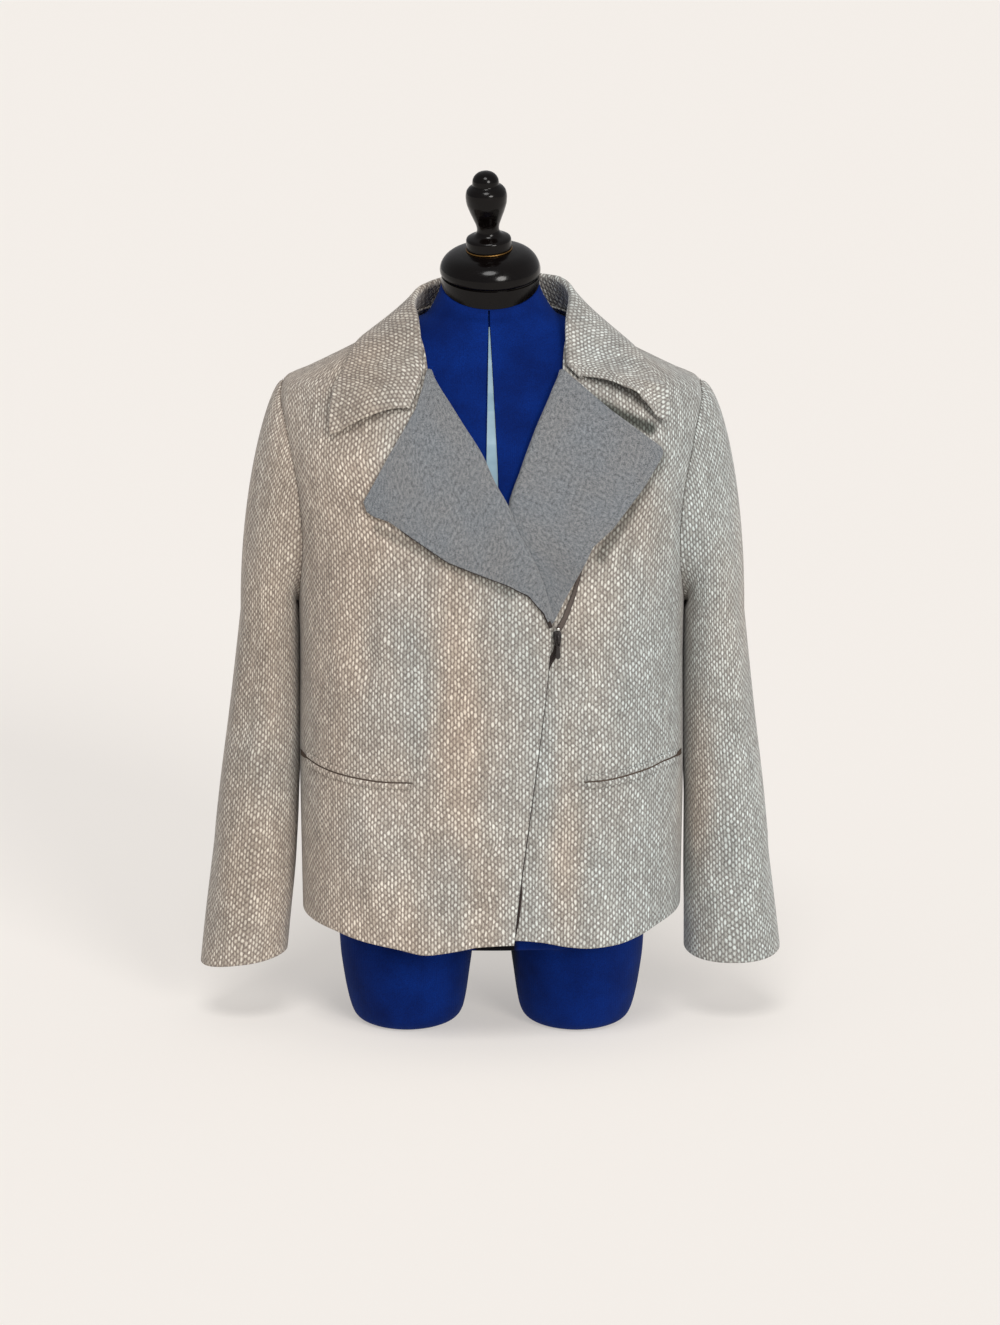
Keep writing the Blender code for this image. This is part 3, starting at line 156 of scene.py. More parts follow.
# ---------------------------------------------------------------- dress form's body
# The dress form's padded torso: a smooth shell covered in blue jersey, with two thigh
# stubs, and a gap down its front where a pale spine shows. Sizes are in millimetres.
MM = 0.001
JACKET_BODY = "jacket_on_form"
FORM_COLUMNS = ("height", "half_width", "front", "back", "middle", "square")
FORM_ROWS = (
    (72, 128, 74, 80, 2, 2.1),
    (76, 143, 86, 92, 2, 2.15),
    (86, 154, 96, 103, 2, 2.2),
    (140, 167, 108, 116, 2, 2.2),
    (210, 167, 106, 108, 0, 2.2),
    (290, 140, 94, 90, -2, 2.2),
    (340, 128, 88, 84, -3, 2.2),
    (410, 136, 104, 88, -2, 2.2),
    (470, 150, 128, 94, -1, 2.3),
    (510, 160, 135, 98, 0, 2.35),
    (550, 170, 127, 103, 0, 2.4),
    (600, 183, 108, 103, 0, 2.6),
    (635, 189, 89, 94, 2, 2.6),
    (650, 187, 78, 87, 4, 2.5),
    (660, 179.8, 71, 82, 5, 2.4),
    (680, 138.8, 62, 74.5, 7, 2.3),
    (700, 101.2, 56, 66, 8, 2.2),
    (708, 82, 53, 61, 8, 2.1),
    (716, 64, 48, 55, 8, 2.0),
)
THIGH_COLUMNS = ("height", "middle", "half_width", "front", "back")
THIGH_ROWS = (
    (0, 85, 47, 60, 62),
    (2, 85, 51, 66, 68),
    (8, 85, 55.5, 73, 75),
    (25, 85.5, 60, 79, 82),
    (50, 86, 64, 83, 88),
    (74, 86, 67.0, 86, 92),
    (100, 86, 68.0, 88, 95),
)
THIGH_AXIS_Y = 2.0
TORSO_FOOT = 92.0
THIGH_TOP = 118.0
NECK_CENTRE = np.array((-1.0, 5.0, 749.0))
NECK_RADIUS = 49.0
NECK_DIP_FRONT = 22.0
NECK_DIP_BACK = 15.0
NECK_WAIST_BELOW, NECK_WAIST_PAST = 12.0, 2.5
GAP_TOP, GAP_BOTTOM = 712.0, 530.0
GAP_X, GAP_DRIFT = -2.0, 4.0
GAP_TOP_WIDTH, GAP_WIDTH, GAP_DEPTH = 2.0, 12.0, 4.0
GAP_OVERRUN, GAP_WIDEST_AT, GAP_BESIDE_SPINE = 0.08, 0.7, 1.3
# Painted shade in the crotch: its top, its middle across, its half width and its fade
CROTCH_SHADE_TOP, CROTCH_SHADE_X, CROTCH_SHADE_HALF, CROTCH_SHADE_FADE = 104.0, 4.0, 18.0, 6.0
FORM_VOXEL = 3.2


class Table:
    """Rows of sizes under named columns, read in between by a curve that never overshoots."""

    def __init__(self, columns, rows):
        self.names = columns
        self.rows = np.array(rows, dtype=float)

    def at(self, place, name):
        xs = self.rows[:, 0]
        ys = self.rows[:, self.names.index(name)]
        widths = np.diff(xs)
        slopes = np.diff(ys) / widths
        before, after = slopes[:-1], slopes[1:]
        same_way = before * after > 0.0
        weight_a = 2.0 * widths[1:] + widths[:-1]
        weight_b = widths[1:] + 2.0 * widths[:-1]
        safe_before = np.where(same_way, before, 1.0)
        safe_after = np.where(same_way, after, 1.0)
        inner = (weight_a + weight_b) / (weight_a / safe_before + weight_b / safe_after)
        tangents = np.concatenate(([slopes[0]], np.where(same_way, inner, 0.0), [slopes[-1]]))
        place = np.clip(place, xs[0], xs[-1])
        i = np.clip(np.searchsorted(xs, place) - 1, 0, len(xs) - 2)
        t = (place - xs[i]) / widths[i]
        rise = ys[i] * (2 * t ** 3 - 3 * t ** 2 + 1) + ys[i + 1] * (3 * t ** 2 - 2 * t ** 3)
        start = widths[i] * tangents[i] * (t ** 3 - 2 * t ** 2 + t)
        end = widths[i] * tangents[i + 1] * (t ** 3 - t ** 2)
        return rise + start + end

    def points(self, place):
        """The x, y and z columns together."""
        return np.stack([self.at(place, axis) for axis in ("x", "y", "z")], axis=-1)


def ring_point(shell, angle, z):
    """Points of level rings; the angle runs from 0 at the front to +90 degrees at +X."""
    angle, z = np.broadcast_arrays(angle, z)
    power = 2.0 / shell.at(z, "square")
    across, ahead = np.sin(angle), np.cos(angle)
    depth = np.where(ahead > 0.0, shell.at(z, "front"), shell.at(z, "back"))
    x = shell.at(z, "half_width") * np.sign(across) * np.abs(across) ** power
    y = shell.at(z, "middle") - depth * np.sign(ahead) * np.abs(ahead) ** power
    return np.stack([x, y, z.astype(float)], axis=-1)


def shell_angle(shell, x, z):
    """The ring angle of the front point at x."""
    share = np.minimum(np.abs(x) / shell.at(z, "half_width"), 1.0)
    return np.sign(x) * np.arcsin(share ** (shell.at(z, "square") / 2.0))


def level_value(shell, point):
    """Below zero inside the shell, zero on it and above zero outside."""
    x, y, z = point[..., 0], point[..., 1], point[..., 2]
    square = shell.at(z, "square")
    ahead = y - shell.at(z, "middle")
    depth = np.where(ahead < 0.0, shell.at(z, "front"), shell.at(z, "back"))
    total = (np.abs(x) / shell.at(z, "half_width")) ** square + (np.abs(ahead) / depth) ** square
    return total ** (1.0 / square) - 1.0


def gradient(shell, point):
    moves = np.eye(3) * 0.5
    return np.stack([level_value(shell, point + move) - level_value(shell, point - move)
                     for move in moves], axis=-1)


def unit(vectors):
    return vectors / np.linalg.norm(vectors, axis=-1, keepdims=True)


def outward(shell, point):
    return unit(gradient(shell, point))


def ring_mesh(name, rings, caps=True, around=True):
    """A mesh through a stack of equal rings, its ends closed by fans."""
    levels, count = rings.shape[:2]
    points = list(rings.reshape(-1, 3) * MM)
    faces = []
    for level in range(levels - 1):
        for i in range(count if around else count - 1):
            j = (i + 1) % count
            low, high = level * count, (level + 1) * count
            faces.append((low + i, low + j, high + j, high + i))
    if caps:
        for first, turned in ((0, True), ((levels - 1) * count, False)):
            points.append(rings.reshape(-1, 3)[first:first + count].mean(axis=0) * MM)
            for i in range(count):
                pair = (first + i, first + (i + 1) % count)
                faces.append((*(pair[::-1] if turned else pair), len(points) - 1))
    mesh = bpy.data.meshes.new(name)
    mesh.from_pydata(points, [], faces)
    mesh.shade_smooth()
    return mesh


def bake(piece):
    """Applies a piece's modifiers to its mesh."""
    depsgraph = bpy.context.evaluated_depsgraph_get()
    mesh = bpy.data.meshes.new_from_object(piece.evaluated_get(depsgraph))
    piece.modifiers.clear()
    piece.data = mesh
    return piece


def neck_ring(angles, radius, lift, dip_front, dip_back):
    """A ring round the neck that dips at the front and rises at the back."""
    across, ahead = np.sin(angles), np.cos(angles)
    dip = np.where(ahead > 0.0, dip_front, dip_back)
    flat = np.sqrt(1.0 - (dip / radius) ** 2)
    offset = np.stack([radius * across, -radius * ahead * flat, lift - dip * ahead], axis=-1)
    return NECK_CENTRE + offset


FORM_SHELL = Table(FORM_COLUMNS, FORM_ROWS)
THIGH = Table(THIGH_COLUMNS, THIGH_ROWS)
form_angles = np.linspace(0.0, 2.0 * math.pi, 96, endpoint=False)
form_levels = np.concatenate((np.linspace(TORSO_FOOT, 104, 6),
                              np.linspace(108, FORM_ROWS[-1][0], 108)))
torso = ring_point(FORM_SHELL, form_angles[None, :], form_levels[:, None])
neck_top = neck_ring(form_angles, NECK_RADIUS, 0.0, NECK_DIP_FRONT, NECK_DIP_BACK)
neck_middle = neck_ring(form_angles, NECK_RADIUS + NECK_WAIST_PAST, -NECK_WAIST_BELOW,
                        NECK_DIP_FRONT * 0.75, NECK_DIP_BACK * 0.6)
neck_pull = 2.0 * neck_middle - 0.5 * (torso[-1] + neck_top)
neck = np.array([torso[-1] * (1 - t) ** 2 + neck_pull * 2 * t * (1 - t) + neck_top * t * t
                 for t in np.linspace(0.1, 1.0, 10)])
form_mesh = ring_mesh("form", np.concatenate((torso, neck)))
form_bm = bmesh.new()
form_bm.from_mesh(form_mesh)
for side in (-1.0, 1.0):
    z = np.concatenate((np.linspace(0, 8, 9), np.linspace(12, THIGH_TOP, 18)))[:, None]
    depth = np.where(np.cos(form_angles) > 0.0, THIGH.at(z, "front"), THIGH.at(z, "back"))
    thigh_x = side * THIGH.at(z, "middle") + THIGH.at(z, "half_width") * np.sin(form_angles)
    thigh_y = THIGH_AXIS_Y - depth * np.cos(form_angles)
    thigh = np.stack([thigh_x, thigh_y, np.broadcast_to(z, thigh_x.shape)], axis=-1)
    thigh_mesh = ring_mesh("thigh", thigh)
    form_bm.from_mesh(thigh_mesh)
    bpy.data.meshes.remove(thigh_mesh)
form_bm.to_mesh(form_mesh)
form_bm.free()


def object_place(tree):
    """A point's place in its piece's own space, in metres."""
    return add_node(tree, "ShaderNodeTexCoord").outputs["Object"]


def weave_map(tree):
    """A point's place on the uncut cloth, in metres."""
    return add_node(tree, "ShaderNodeUVMap", uv_map="weave").outputs[0]


def noise(tree, place, scale, detail=2.0, roughness=0.5):
    """A cloudy value; its scale is in clouds to the metre."""
    return add_node(tree, "ShaderNodeTexNoise", {
        "Vector": place, "Scale": scale, "Detail": detail, "Roughness": roughness}).outputs[0]


def calc(tree, operation, *values):
    """One sum on values."""
    return add_node(tree, "ShaderNodeMath", dict(enumerate(values)),
                    operation=operation).outputs[0]


def spread(tree, value, low, high, low_to=0.0, high_to=1.0, **settings):
    """A value from low to high, spread over another range."""
    return add_node(tree, "ShaderNodeMapRange", {
        "Value": value, "From Min": low, "From Max": high, "To Min": low_to, "To Max": high_to},
        **settings).outputs[0]


def blend(tree, factor, first, second, **settings):
    """Two colours mixed; a colour may be sRGB hex."""
    first, second = [linear(colour) if isinstance(colour, str) else colour
                     for colour in (first, second)]
    return add_node(tree, "ShaderNodeMix", {0: factor, 6: first, 7: second},
                    data_type="RGBA", **settings).outputs[2]


def finish_material(tree, shader, bump=None, **sockets):
    """Links a material's results to its shader; bump is height, strength and depth in metres."""
    if bump:
        sockets["Normal"] = add_node(tree, "ShaderNodeBump", {
            "Height": bump[0], "Strength": bump[1], "Distance": bump[2]}).outputs[0]
    for key, value in sockets.items():
        tree.links.new(value, shader.inputs[key.replace("_", " ")])


def settle_normals(mesh, weld=0.0):
    """Turns a mesh's faces outwards, after welding points that lie closer than weld."""
    mesh_bm = bmesh.new()
    mesh_bm.from_mesh(mesh)
    if weld:
        bmesh.ops.remove_doubles(mesh_bm, verts=mesh_bm.verts, dist=weld)
    bmesh.ops.recalc_face_normals(mesh_bm, faces=mesh_bm.faces)
    mesh_bm.to_mesh(mesh)
    mesh_bm.free()


def stand_for(piece, node, body=JACKET_BODY):
    """The piece rides on its body and takes its CAD node's place."""
    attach(piece, body)
    if node:
        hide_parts(node)


jersey, jersey_tree, jersey_shader = start_material(
    "blue_cotton_jersey", Roughness=0.92, Specular_IOR_Level=0.1, Sheen_Weight=0.1,
    Sheen_Roughness=0.4, Sheen_Tint=linear("#6f8fc4"))
# Fine ribs of a stretched knit, a little lighter where the cloth has rubbed.
jersey_place = object_place(jersey_tree)
jersey_wear = noise(jersey_tree, jersey_place, 26.0, 4.0)
jersey_fibre = noise(jersey_tree, jersey_place, 900.0, 3.0)
jersey_ribs = add_node(jersey_tree, "ShaderNodeTexWave",
                       {"Vector": jersey_place, "Scale": 170.0, "Distortion": 1.2,
                        "Detail": 1.0, "Detail Scale": 3.0}, bands_direction="X").outputs[1]
jersey_blue = blend(jersey_tree, calc(jersey_tree, "MULTIPLY", jersey_wear, jersey_fibre),
                    "#000a38", "#053898")
# Painted shade: the jersey turns near-black low down between the thighs, where the crotch lies in shade
jersey_low = add_node(jersey_tree, "ShaderNodeSeparateXYZ", {0: jersey_place})
jersey_above_shade = spread(jersey_tree, jersey_low.outputs[2], CROTCH_SHADE_TOP * MM,
                      (CROTCH_SHADE_TOP + CROTCH_SHADE_FADE) * MM)
jersey_side = calc(jersey_tree, "SUBTRACT", jersey_low.outputs[0], CROTCH_SHADE_X * MM)
jersey_beside_shade = spread(jersey_tree, calc(jersey_tree, "ABSOLUTE", jersey_side),
                        CROTCH_SHADE_HALF * MM, (CROTCH_SHADE_HALF + CROTCH_SHADE_FADE) * MM)
jersey_out_of_shade = calc(jersey_tree, "MAXIMUM", jersey_above_shade, jersey_beside_shade)
jersey_height = calc(jersey_tree, "MULTIPLY_ADD", jersey_ribs, 0.5, jersey_fibre)
finish_material(jersey_tree, jersey_shader, (jersey_height, 0.35, 0.0004),
                Base_Color=blend(jersey_tree, jersey_out_of_shade, "#07070b", jersey_blue))

form = add_object("form_jersey", form_mesh, jersey)
form_remesh = form.modifiers.new("one_skin", "REMESH")
form_remesh.mode = "VOXEL"
form_remesh.voxel_size = FORM_VOXEL * MM
form_remesh.use_smooth_shade = True
form_smooth = form.modifiers.new("even_padding", "SMOOTH")
form_smooth.factor = 0.5
form_smooth.iterations = 8
bake(form)

# The slit runs on above the spine, and stands open beside its left edge
gap_share = np.linspace(-GAP_OVERRUN, 1.0, 44)[:, None]
gap_z = GAP_TOP + (GAP_BOTTOM - GAP_TOP) * gap_share
gap_opened = np.clip(gap_share / GAP_WIDEST_AT, 0.0, 1.0)
gap_width = GAP_TOP_WIDTH + (GAP_WIDTH - GAP_TOP_WIDTH) * gap_opened
gap_x = GAP_X + GAP_DRIFT * gap_share + 0.5 * gap_width * np.array((-1.0, 0.0, 1.0))
gap_beside = GAP_BESIDE_SPINE * np.clip(gap_share / 0.3, 0.0, 1.0)
gap_x = gap_x - gap_beside * np.array((1.0, 0.5, 0.0))
gap_z = np.broadcast_to(gap_z, gap_x.shape)
gap_line = ring_point(FORM_SHELL, shell_angle(FORM_SHELL, gap_x, gap_z), gap_z)
gap_out = outward(FORM_SHELL, gap_line)
gap_rings = np.concatenate((gap_line + gap_out * GAP_DEPTH,
                            (gap_line - gap_out * GAP_DEPTH)[:, ::-1]), axis=1)
groove = add_object("groove", ring_mesh("groove", gap_rings), jersey)
settle_normals(groove.data)
form_cut = form.modifiers.new("front_gap", "BOOLEAN")
form_cut.operation = "DIFFERENCE"
form_cut.object = groove
form_cut.solver = "EXACT"
bake(form)
bpy.data.objects.remove(groove, do_unlink=True)
form.data.shade_smooth()
form.data.set_sharp_from_angle(angle=math.radians(50.0))
stand_for(form, "form_body")

spine_plastic, spine_tree, spine_shader = start_material(
    "pale_moulded_plastic", Roughness=0.42)
# Pale grey-blue plastic with faint moulding haze.
spine_haze = noise(spine_tree, object_place(spine_tree), 60.0, 3.0)
finish_material(spine_tree, spine_shader,
                Base_Color=blend(spine_tree, spine_haze, "#587688", "#86a3b1"))
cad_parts["form_gap_strip"].data.materials.clear()
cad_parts["form_gap_strip"].data.materials.append(spine_plastic)

# ------------------------------------------------------------ form's cap and knob
# The turned neck cap of black lacquered wood, its knob and the brass ring at the knob's
# foot. The knob leans a little forwards.
CAP_RIM_LIFT = 8.5
CAP_DIP = 11.0
CAP_SKIRT_RADIUS = 48.4
TURNED_COLUMNS = ("height", "radius")
CAP_ROWS = (
    (-2.0, 47.3), (-0.8, 47.3), (0.2, 48.9), (1.0, 49.4), (4.0, 49.7), (7.5, 49.2), (12.5, 47.2),
    (18.5, 42.0), (22.0, 35.0), (23.6, 28.5), (24.4, 25.0), (24.8, 23.4),
)
KNOB_ROWS = (
    (0.0, 21.6), (0.6, 22.2), (2.0, 22.5), (9.5, 22.3), (11.8, 21.4), (13.2, 18.6), (14.6, 14.6),
    (17.5, 11.8), (21.0, 10.9), (24.5, 11.4), (31.5, 13.9), (41.0, 17.6), (49.5, 20.0),
    (55.0, 20.4), (60.0, 19.6), (64.0, 17.0), (66.2, 14.0), (67.2, 13.0), (68.6, 13.2),
    (71.5, 12.9), (75.0, 11.4), (78.0, 8.6), (79.6, 5.4), (80.3, 1.2),
)
KNOB_LIFT = 25.2
LEAN_RIGHT = 2.8
LEAN_FORWARD = 12.5
RING_RADIUS, RING_WIRE = 22.4, 0.7

lacquer, lacquer_tree, lacquer_shader = start_material(
    "black_lacquered_wood", Coat_Weight=0.1, Coat_Roughness=0.04, Specular_IOR_Level=0.14)
# Deep brown-black lacquer with fine rubbed marks and a little dust in the gloss.
lacquer_place = object_place(lacquer_tree)
lacquer_cloud = noise(lacquer_tree, lacquer_place, 45.0, 5.0)
lacquer_marks = noise(lacquer_tree, lacquer_place, 420.0, 4.0, 0.8)
finish_material(lacquer_tree, lacquer_shader, (lacquer_cloud, 0.25, 0.0006),
                Roughness=spread(lacquer_tree, lacquer_marks, 0.45, 0.75, 0.14, 0.34),
                Base_Color=blend(lacquer_tree, lacquer_cloud, "#020101", "#0c0807"))

lean = unit(np.array([-math.sin(math.radians(LEAN_RIGHT)), -math.sin(math.radians(LEAN_FORWARD)),
                      math.cos(math.radians(LEAN_FORWARD))]))
cap_table = Table(TURNED_COLUMNS, CAP_ROWS)
cap_rings = []
for share in np.linspace(0.0, 1.0, 5):
    dips = [dip + (CAP_DIP - dip) * share for dip in (NECK_DIP_FRONT, NECK_DIP_BACK)]
    lift = 0.4 + (CAP_RIM_LIFT - 2.4) * share
    cap_rings.append(neck_ring(form_angles, CAP_SKIRT_RADIUS, lift, *dips))
for height in np.linspace(CAP_ROWS[0][0], CAP_ROWS[-1][0], 44):
    radius = cap_table.at(height, "radius")
    dip = CAP_DIP * radius / NECK_RADIUS
    ring = neck_ring(form_angles, radius, CAP_RIM_LIFT, dip, dip) + lean * height
    turned = max(height, 0.0) / KNOB_LIFT * math.tan(math.radians(LEAN_RIGHT))
    ring[:, 2] += ring[:, 0] * turned
    cap_rings.append(ring)
cap = add_object("form_cap", ring_mesh("form_cap", np.array(cap_rings)), lacquer)
cap.data.set_sharp_from_angle(angle=math.radians(60.0))
stand_for(cap, "form_neck_cap")

knob_table = Table(TURNED_COLUMNS, KNOB_ROWS)
knob_base = NECK_CENTRE + np.array([0.0, 0.0, CAP_RIM_LIFT]) + lean * KNOB_LIFT
knob_right = unit(np.cross(lean, [0.0, 1.0, 0.0]))
knob_front = np.cross(lean, knob_right)
knob_rings = []
for height in np.linspace(0.0, KNOB_ROWS[-1][0], 90):
    radius = knob_table.at(height, "radius")
    knob_rings.append(knob_base + lean * height + radius * (
        np.sin(form_angles)[:, None] * knob_right + np.cos(form_angles)[:, None] * knob_front))
knob = add_object("form_knob_turned", ring_mesh("form_knob", np.array(knob_rings)), lacquer)
settle_normals(knob.data)
stand_for(knob, "form_knob")

brass, brass_tree, brass_shader = start_material(
    "tarnished_brass", Metallic=1.0, Roughness=0.38)
# Dull gold with brown tarnish in patches.
brass_cloud = noise(brass_tree, object_place(brass_tree), 160.0)
finish_material(brass_tree, brass_shader,
                Base_Color=blend(brass_tree, brass_cloud, "#3a2413", "#a98148"))
wire_turns = np.linspace(0.0, 2.0 * math.pi, 10, endpoint=False)
wire_rings = []
for angle in form_angles:
    way = math.sin(angle) * knob_right + math.cos(angle) * knob_front
    middle = knob_base + way * RING_RADIUS + lean * RING_WIRE * 0.4
    wire_rings.append(middle + RING_WIRE * (np.cos(wire_turns)[:, None] * way
                                            + np.sin(wire_turns)[:, None] * lean))
wire_rings.append(wire_rings[0])
wire = add_object("form_knob_ring", ring_mesh("form_knob_ring", np.array(wire_rings), caps=False),
                  brass)
settle_normals(wire.data, weld=0.00001)
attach(wire, JACKET_BODY)


# ---------------------------------------------------------------- jacket's back
# The back of the jacket, one piece of coarse hopsack tweed from side seam to side
# seam, up over the shoulders to the neckline, with soft creases at the waist.
SHELL_ROWS = (
    (60, 187, 153, 151, 0, 2.5),
    (180, 189, 148, 148, 0, 2.5),
    (280, 190, 146, 138, 0, 2.5),
    (370, 189, 147, 126, 0, 2.5),
    (440, 190, 152, 118, 0, 2.45),
    (500, 193, 150, 114, 0, 2.4),
    (550, 199, 138, 113, 0, 2.45),
    (600, 205, 118, 110, 0, 2.6),
    (635, 208, 98, 100, 2, 2.6),
    (650, 204, 86, 92, 4, 2.5),
    (660, 183, 78, 86, 5, 2.4),
    (680, 142, 68, 78, 7, 2.3),
    (700, 104, 62, 70, 8, 2.2),
    (718, 75, 56, 64, 8, 2.1),
    (740, 66, 52, 58, 8, 2.0),
)
TWEED = 2.0
SEAM_GAP = 0.5
HEM, NECK_TOP = 112.0, 712.0
HEM_FADE = 110.0
ARMHOLE_BOTTOM, ARMHOLE_TOP = 430.0, 650.0
ARMHOLE_DEPTH = 62.0
ARMHOLE_NARROWING = 0.12
BACK_HEM_RISE, BACK_HEM_DIP = 6.0, 4.0
BACK_NECK_RISE, BACK_NECK_START = 10.0, 676.0
SLOPE_START = 590.0
# Creases: start and end across and up, half width and depth (below zero is a trough)
BACK_CREASES = (
    (-150, 430, -70, 392, 13, -2.6),
    (-160, 400, -88, 352, 15, 2.4),
    (140, 436, 62, 388, 14, -2.4),
    (165, 398, 80, 344, 16, 2.6),
    (-30, 300, -52, 130, 20, 2.8),
    (64, 290, 84, 125, 18, 2.6),
    (-112, 260, -128, 125, 16, -2.4),
    (14, 280, 22, 130, 17, -2.2),
    (-128, 560, -92, 470, 18, -2.2),
    (132, 566, 104, 480, 17, -2.0),
    (-60, 640, 60, 640, 12, 1.4),
)
# Weave: one column of yarn across, one grain up
YARN_COLUMN = 3.3
YARN_ROW = 6.4
# Soft patches of tone: place across and up, half width and height, and coolness
TONE_PATCHES = (
    (-92, 385, 46, 95, 0.34), (-40, 160, 30, 60, 0.28), (-34, 350, 26, 140, -0.16),
    (74, 218, 18, 115, -0.36), (205, 245, 20, 105, -0.45), (150, 380, 44, 120, 0.30),
    (-150, 520, 44, 70, -0.2), (-225, 260, 40, 70, 0.25),
)
# Painted shade, darker and greener, below the collar's edges, beside the lapels and down the wearer's
# right sleeve: from and to, across and up, half width and depth
PAINTED_SHADE_LINES = (
    ((95, 645), (155, 618), 10, 0.90), ((164, 590), (107, 500), 11, 0.50),
    ((-110, 527), (20, 467), 8, 0.40), ((-222, 540), (-268, 130), 62, 0.13),
    ((-126, 645), (-92, 700), 55, 0.20),
)


def woven_tweed(name):
    """Coarse hopsack: cream grains in columns half a step apart on a brown-grey ground, with painted
    warm and cool light and painted shade.
    """
    material, tree, shader = start_material(
        name, Roughness=0.95, Specular_IOR_Level=0.2, Sheen_Weight=0.22, Sheen_Roughness=0.5)

    def math_on(operation, *values):
        return calc(tree, operation, *values)

    def vector_on(operation, first, second=None, result=0):
        given = {0: first} if second is None else {0: first, 1: second}
        return add_node(tree, "ShaderNodeVectorMath", given, operation=operation).outputs[result]

    def soft(value, low, high):
        return spread(tree, value, low, high, interpolation_type="SMOOTHSTEP")

    def parts(vector):
        return add_node(tree, "ShaderNodeSeparateXYZ", {0: vector}).outputs

    # The weave's rows sway a little, in long bends and in short ones
    place, weave = object_place(tree), weave_map(tree)
    bent = weave
    for scale, across, up in ((38.0, 0.0042, 0.0050), (330.0, 0.0011, 0.0016)):
        sway = add_node(tree, "ShaderNodeTexNoise", {"Vector": weave, "Scale": scale, "Detail": 2.0})
        shifted = vector_on("SUBTRACT", sway.outputs[1], (0.5, 0.5, 0.5))
        bent = vector_on("ADD", bent, vector_on("MULTIPLY", shifted, (across, up, 0.0)))
    # Each cell of the weave is one grain, of its own size and shade
    bent_across, bent_up, _ = parts(bent)
    column = math_on("DIVIDE", bent_across, YARN_COLUMN * MM)
    column_number = math_on("FLOOR", column)
    odd = math_on("FLOORED_MODULO", column_number, 2.0)
    row = math_on("MULTIPLY_ADD", odd, 0.5, math_on("DIVIDE", bent_up, YARN_ROW * MM))
    row_number = math_on("FLOOR", row)
    cell = add_node(tree, "ShaderNodeCombineXYZ", {0: column_number, 1: row_number, 2: 7.0})
    chance = add_node(tree, "ShaderNodeTexWhiteNoise", {"Vector": cell.outputs[0]},
                      noise_dimensions="3D")
    wide_chance, tall_chance, shade_chance = parts(chance.outputs[1])
    across = math_on("SUBTRACT", math_on("SUBTRACT", column, column_number), 0.5)
    along = math_on("SUBTRACT", math_on("SUBTRACT", row, row_number), 0.5)
    wide = math_on("MULTIPLY_ADD", wide_chance, 0.16, 0.30)
    tall = math_on("MULTIPLY_ADD", tall_chance, 0.20, 0.28)
    distance = math_on("SQRT", math_on(
        "ADD", math_on("POWER", math_on("DIVIDE", across, wide), 2.0),
        math_on("POWER", math_on("DIVIDE", along, tall), 2.0)))
    grain_mask = math_on("SUBTRACT", 1.0, soft(distance, 0.45, 1.3))
    # Twist, fibre, single yarns and slubs, and a slow cloud over all
    twist = math_on("SINE", math_on("ADD", math_on("MULTIPLY", bent_across, 2600.0),
                                    math_on("MULTIPLY", bent_up, 3400.0)))
    streaks = vector_on("MULTIPLY", bent, (1.0, 0.36, 1.0))
    fibre = noise(tree, streaks, 1100.0, 4.0, 0.75)
    yarn = add_node(tree, "ShaderNodeTexWhiteNoise", {"W": column_number},
                    noise_dimensions="1D").outputs[0]
    slub = noise(tree, streaks, 75.0)
    cloud = noise(tree, place, 14.0, 3.0)
    grain_colour = blend(tree, math_on("MULTIPLY", shade_chance, 0.9), "#e6e6e1", "#aaa59e")
    ground_colour = blend(tree, soft(fibre, 0.36, 0.62), "#68625f", "#a19a95")
    cloth_colour = blend(tree, grain_mask, ground_colour, grain_colour)
    # Painted light: warm beige on the wearer's right and cooler grey on the left, as if lit warm from
    # one side and cool from the other, with soft patches of both
    patch = noise(tree, vector_on("MULTIPLY", place, (9.0, 9.0, 3.2)), 1.0)
    place_x, place_y, _ = parts(place)
    side = math_on("MULTIPLY_ADD", place_x, 1.5, math_on("MULTIPLY_ADD", patch, 1.5, -0.32))
    ahead = soft(place_y, 0.02, -0.06)
    for patch_x, patch_z, half_width, half_height, coolness in TONE_PATCHES:
        apart = vector_on("SUBTRACT", place, (patch_x * MM, 0.0, patch_z * MM))
        flat = vector_on("MULTIPLY", apart,
                         (1.0 / (half_width * MM), 0.0, 1.0 / (half_height * MM)))
        reach = vector_on("LENGTH", flat, result="Value")
        cooler = math_on("MULTIPLY", ahead, soft(reach, 1.5, 0.1))
        side = math_on("MULTIPLY_ADD", cooler, coolness, side)
    painted_light_tint = blend(tree, soft(side, 0.0, 1.0), "#fdf0e3", "#eaf4f7")
    colour_with_painted_light = blend(tree, 1.0, cloth_colour, painted_light_tint, blend_type="MULTIPLY")
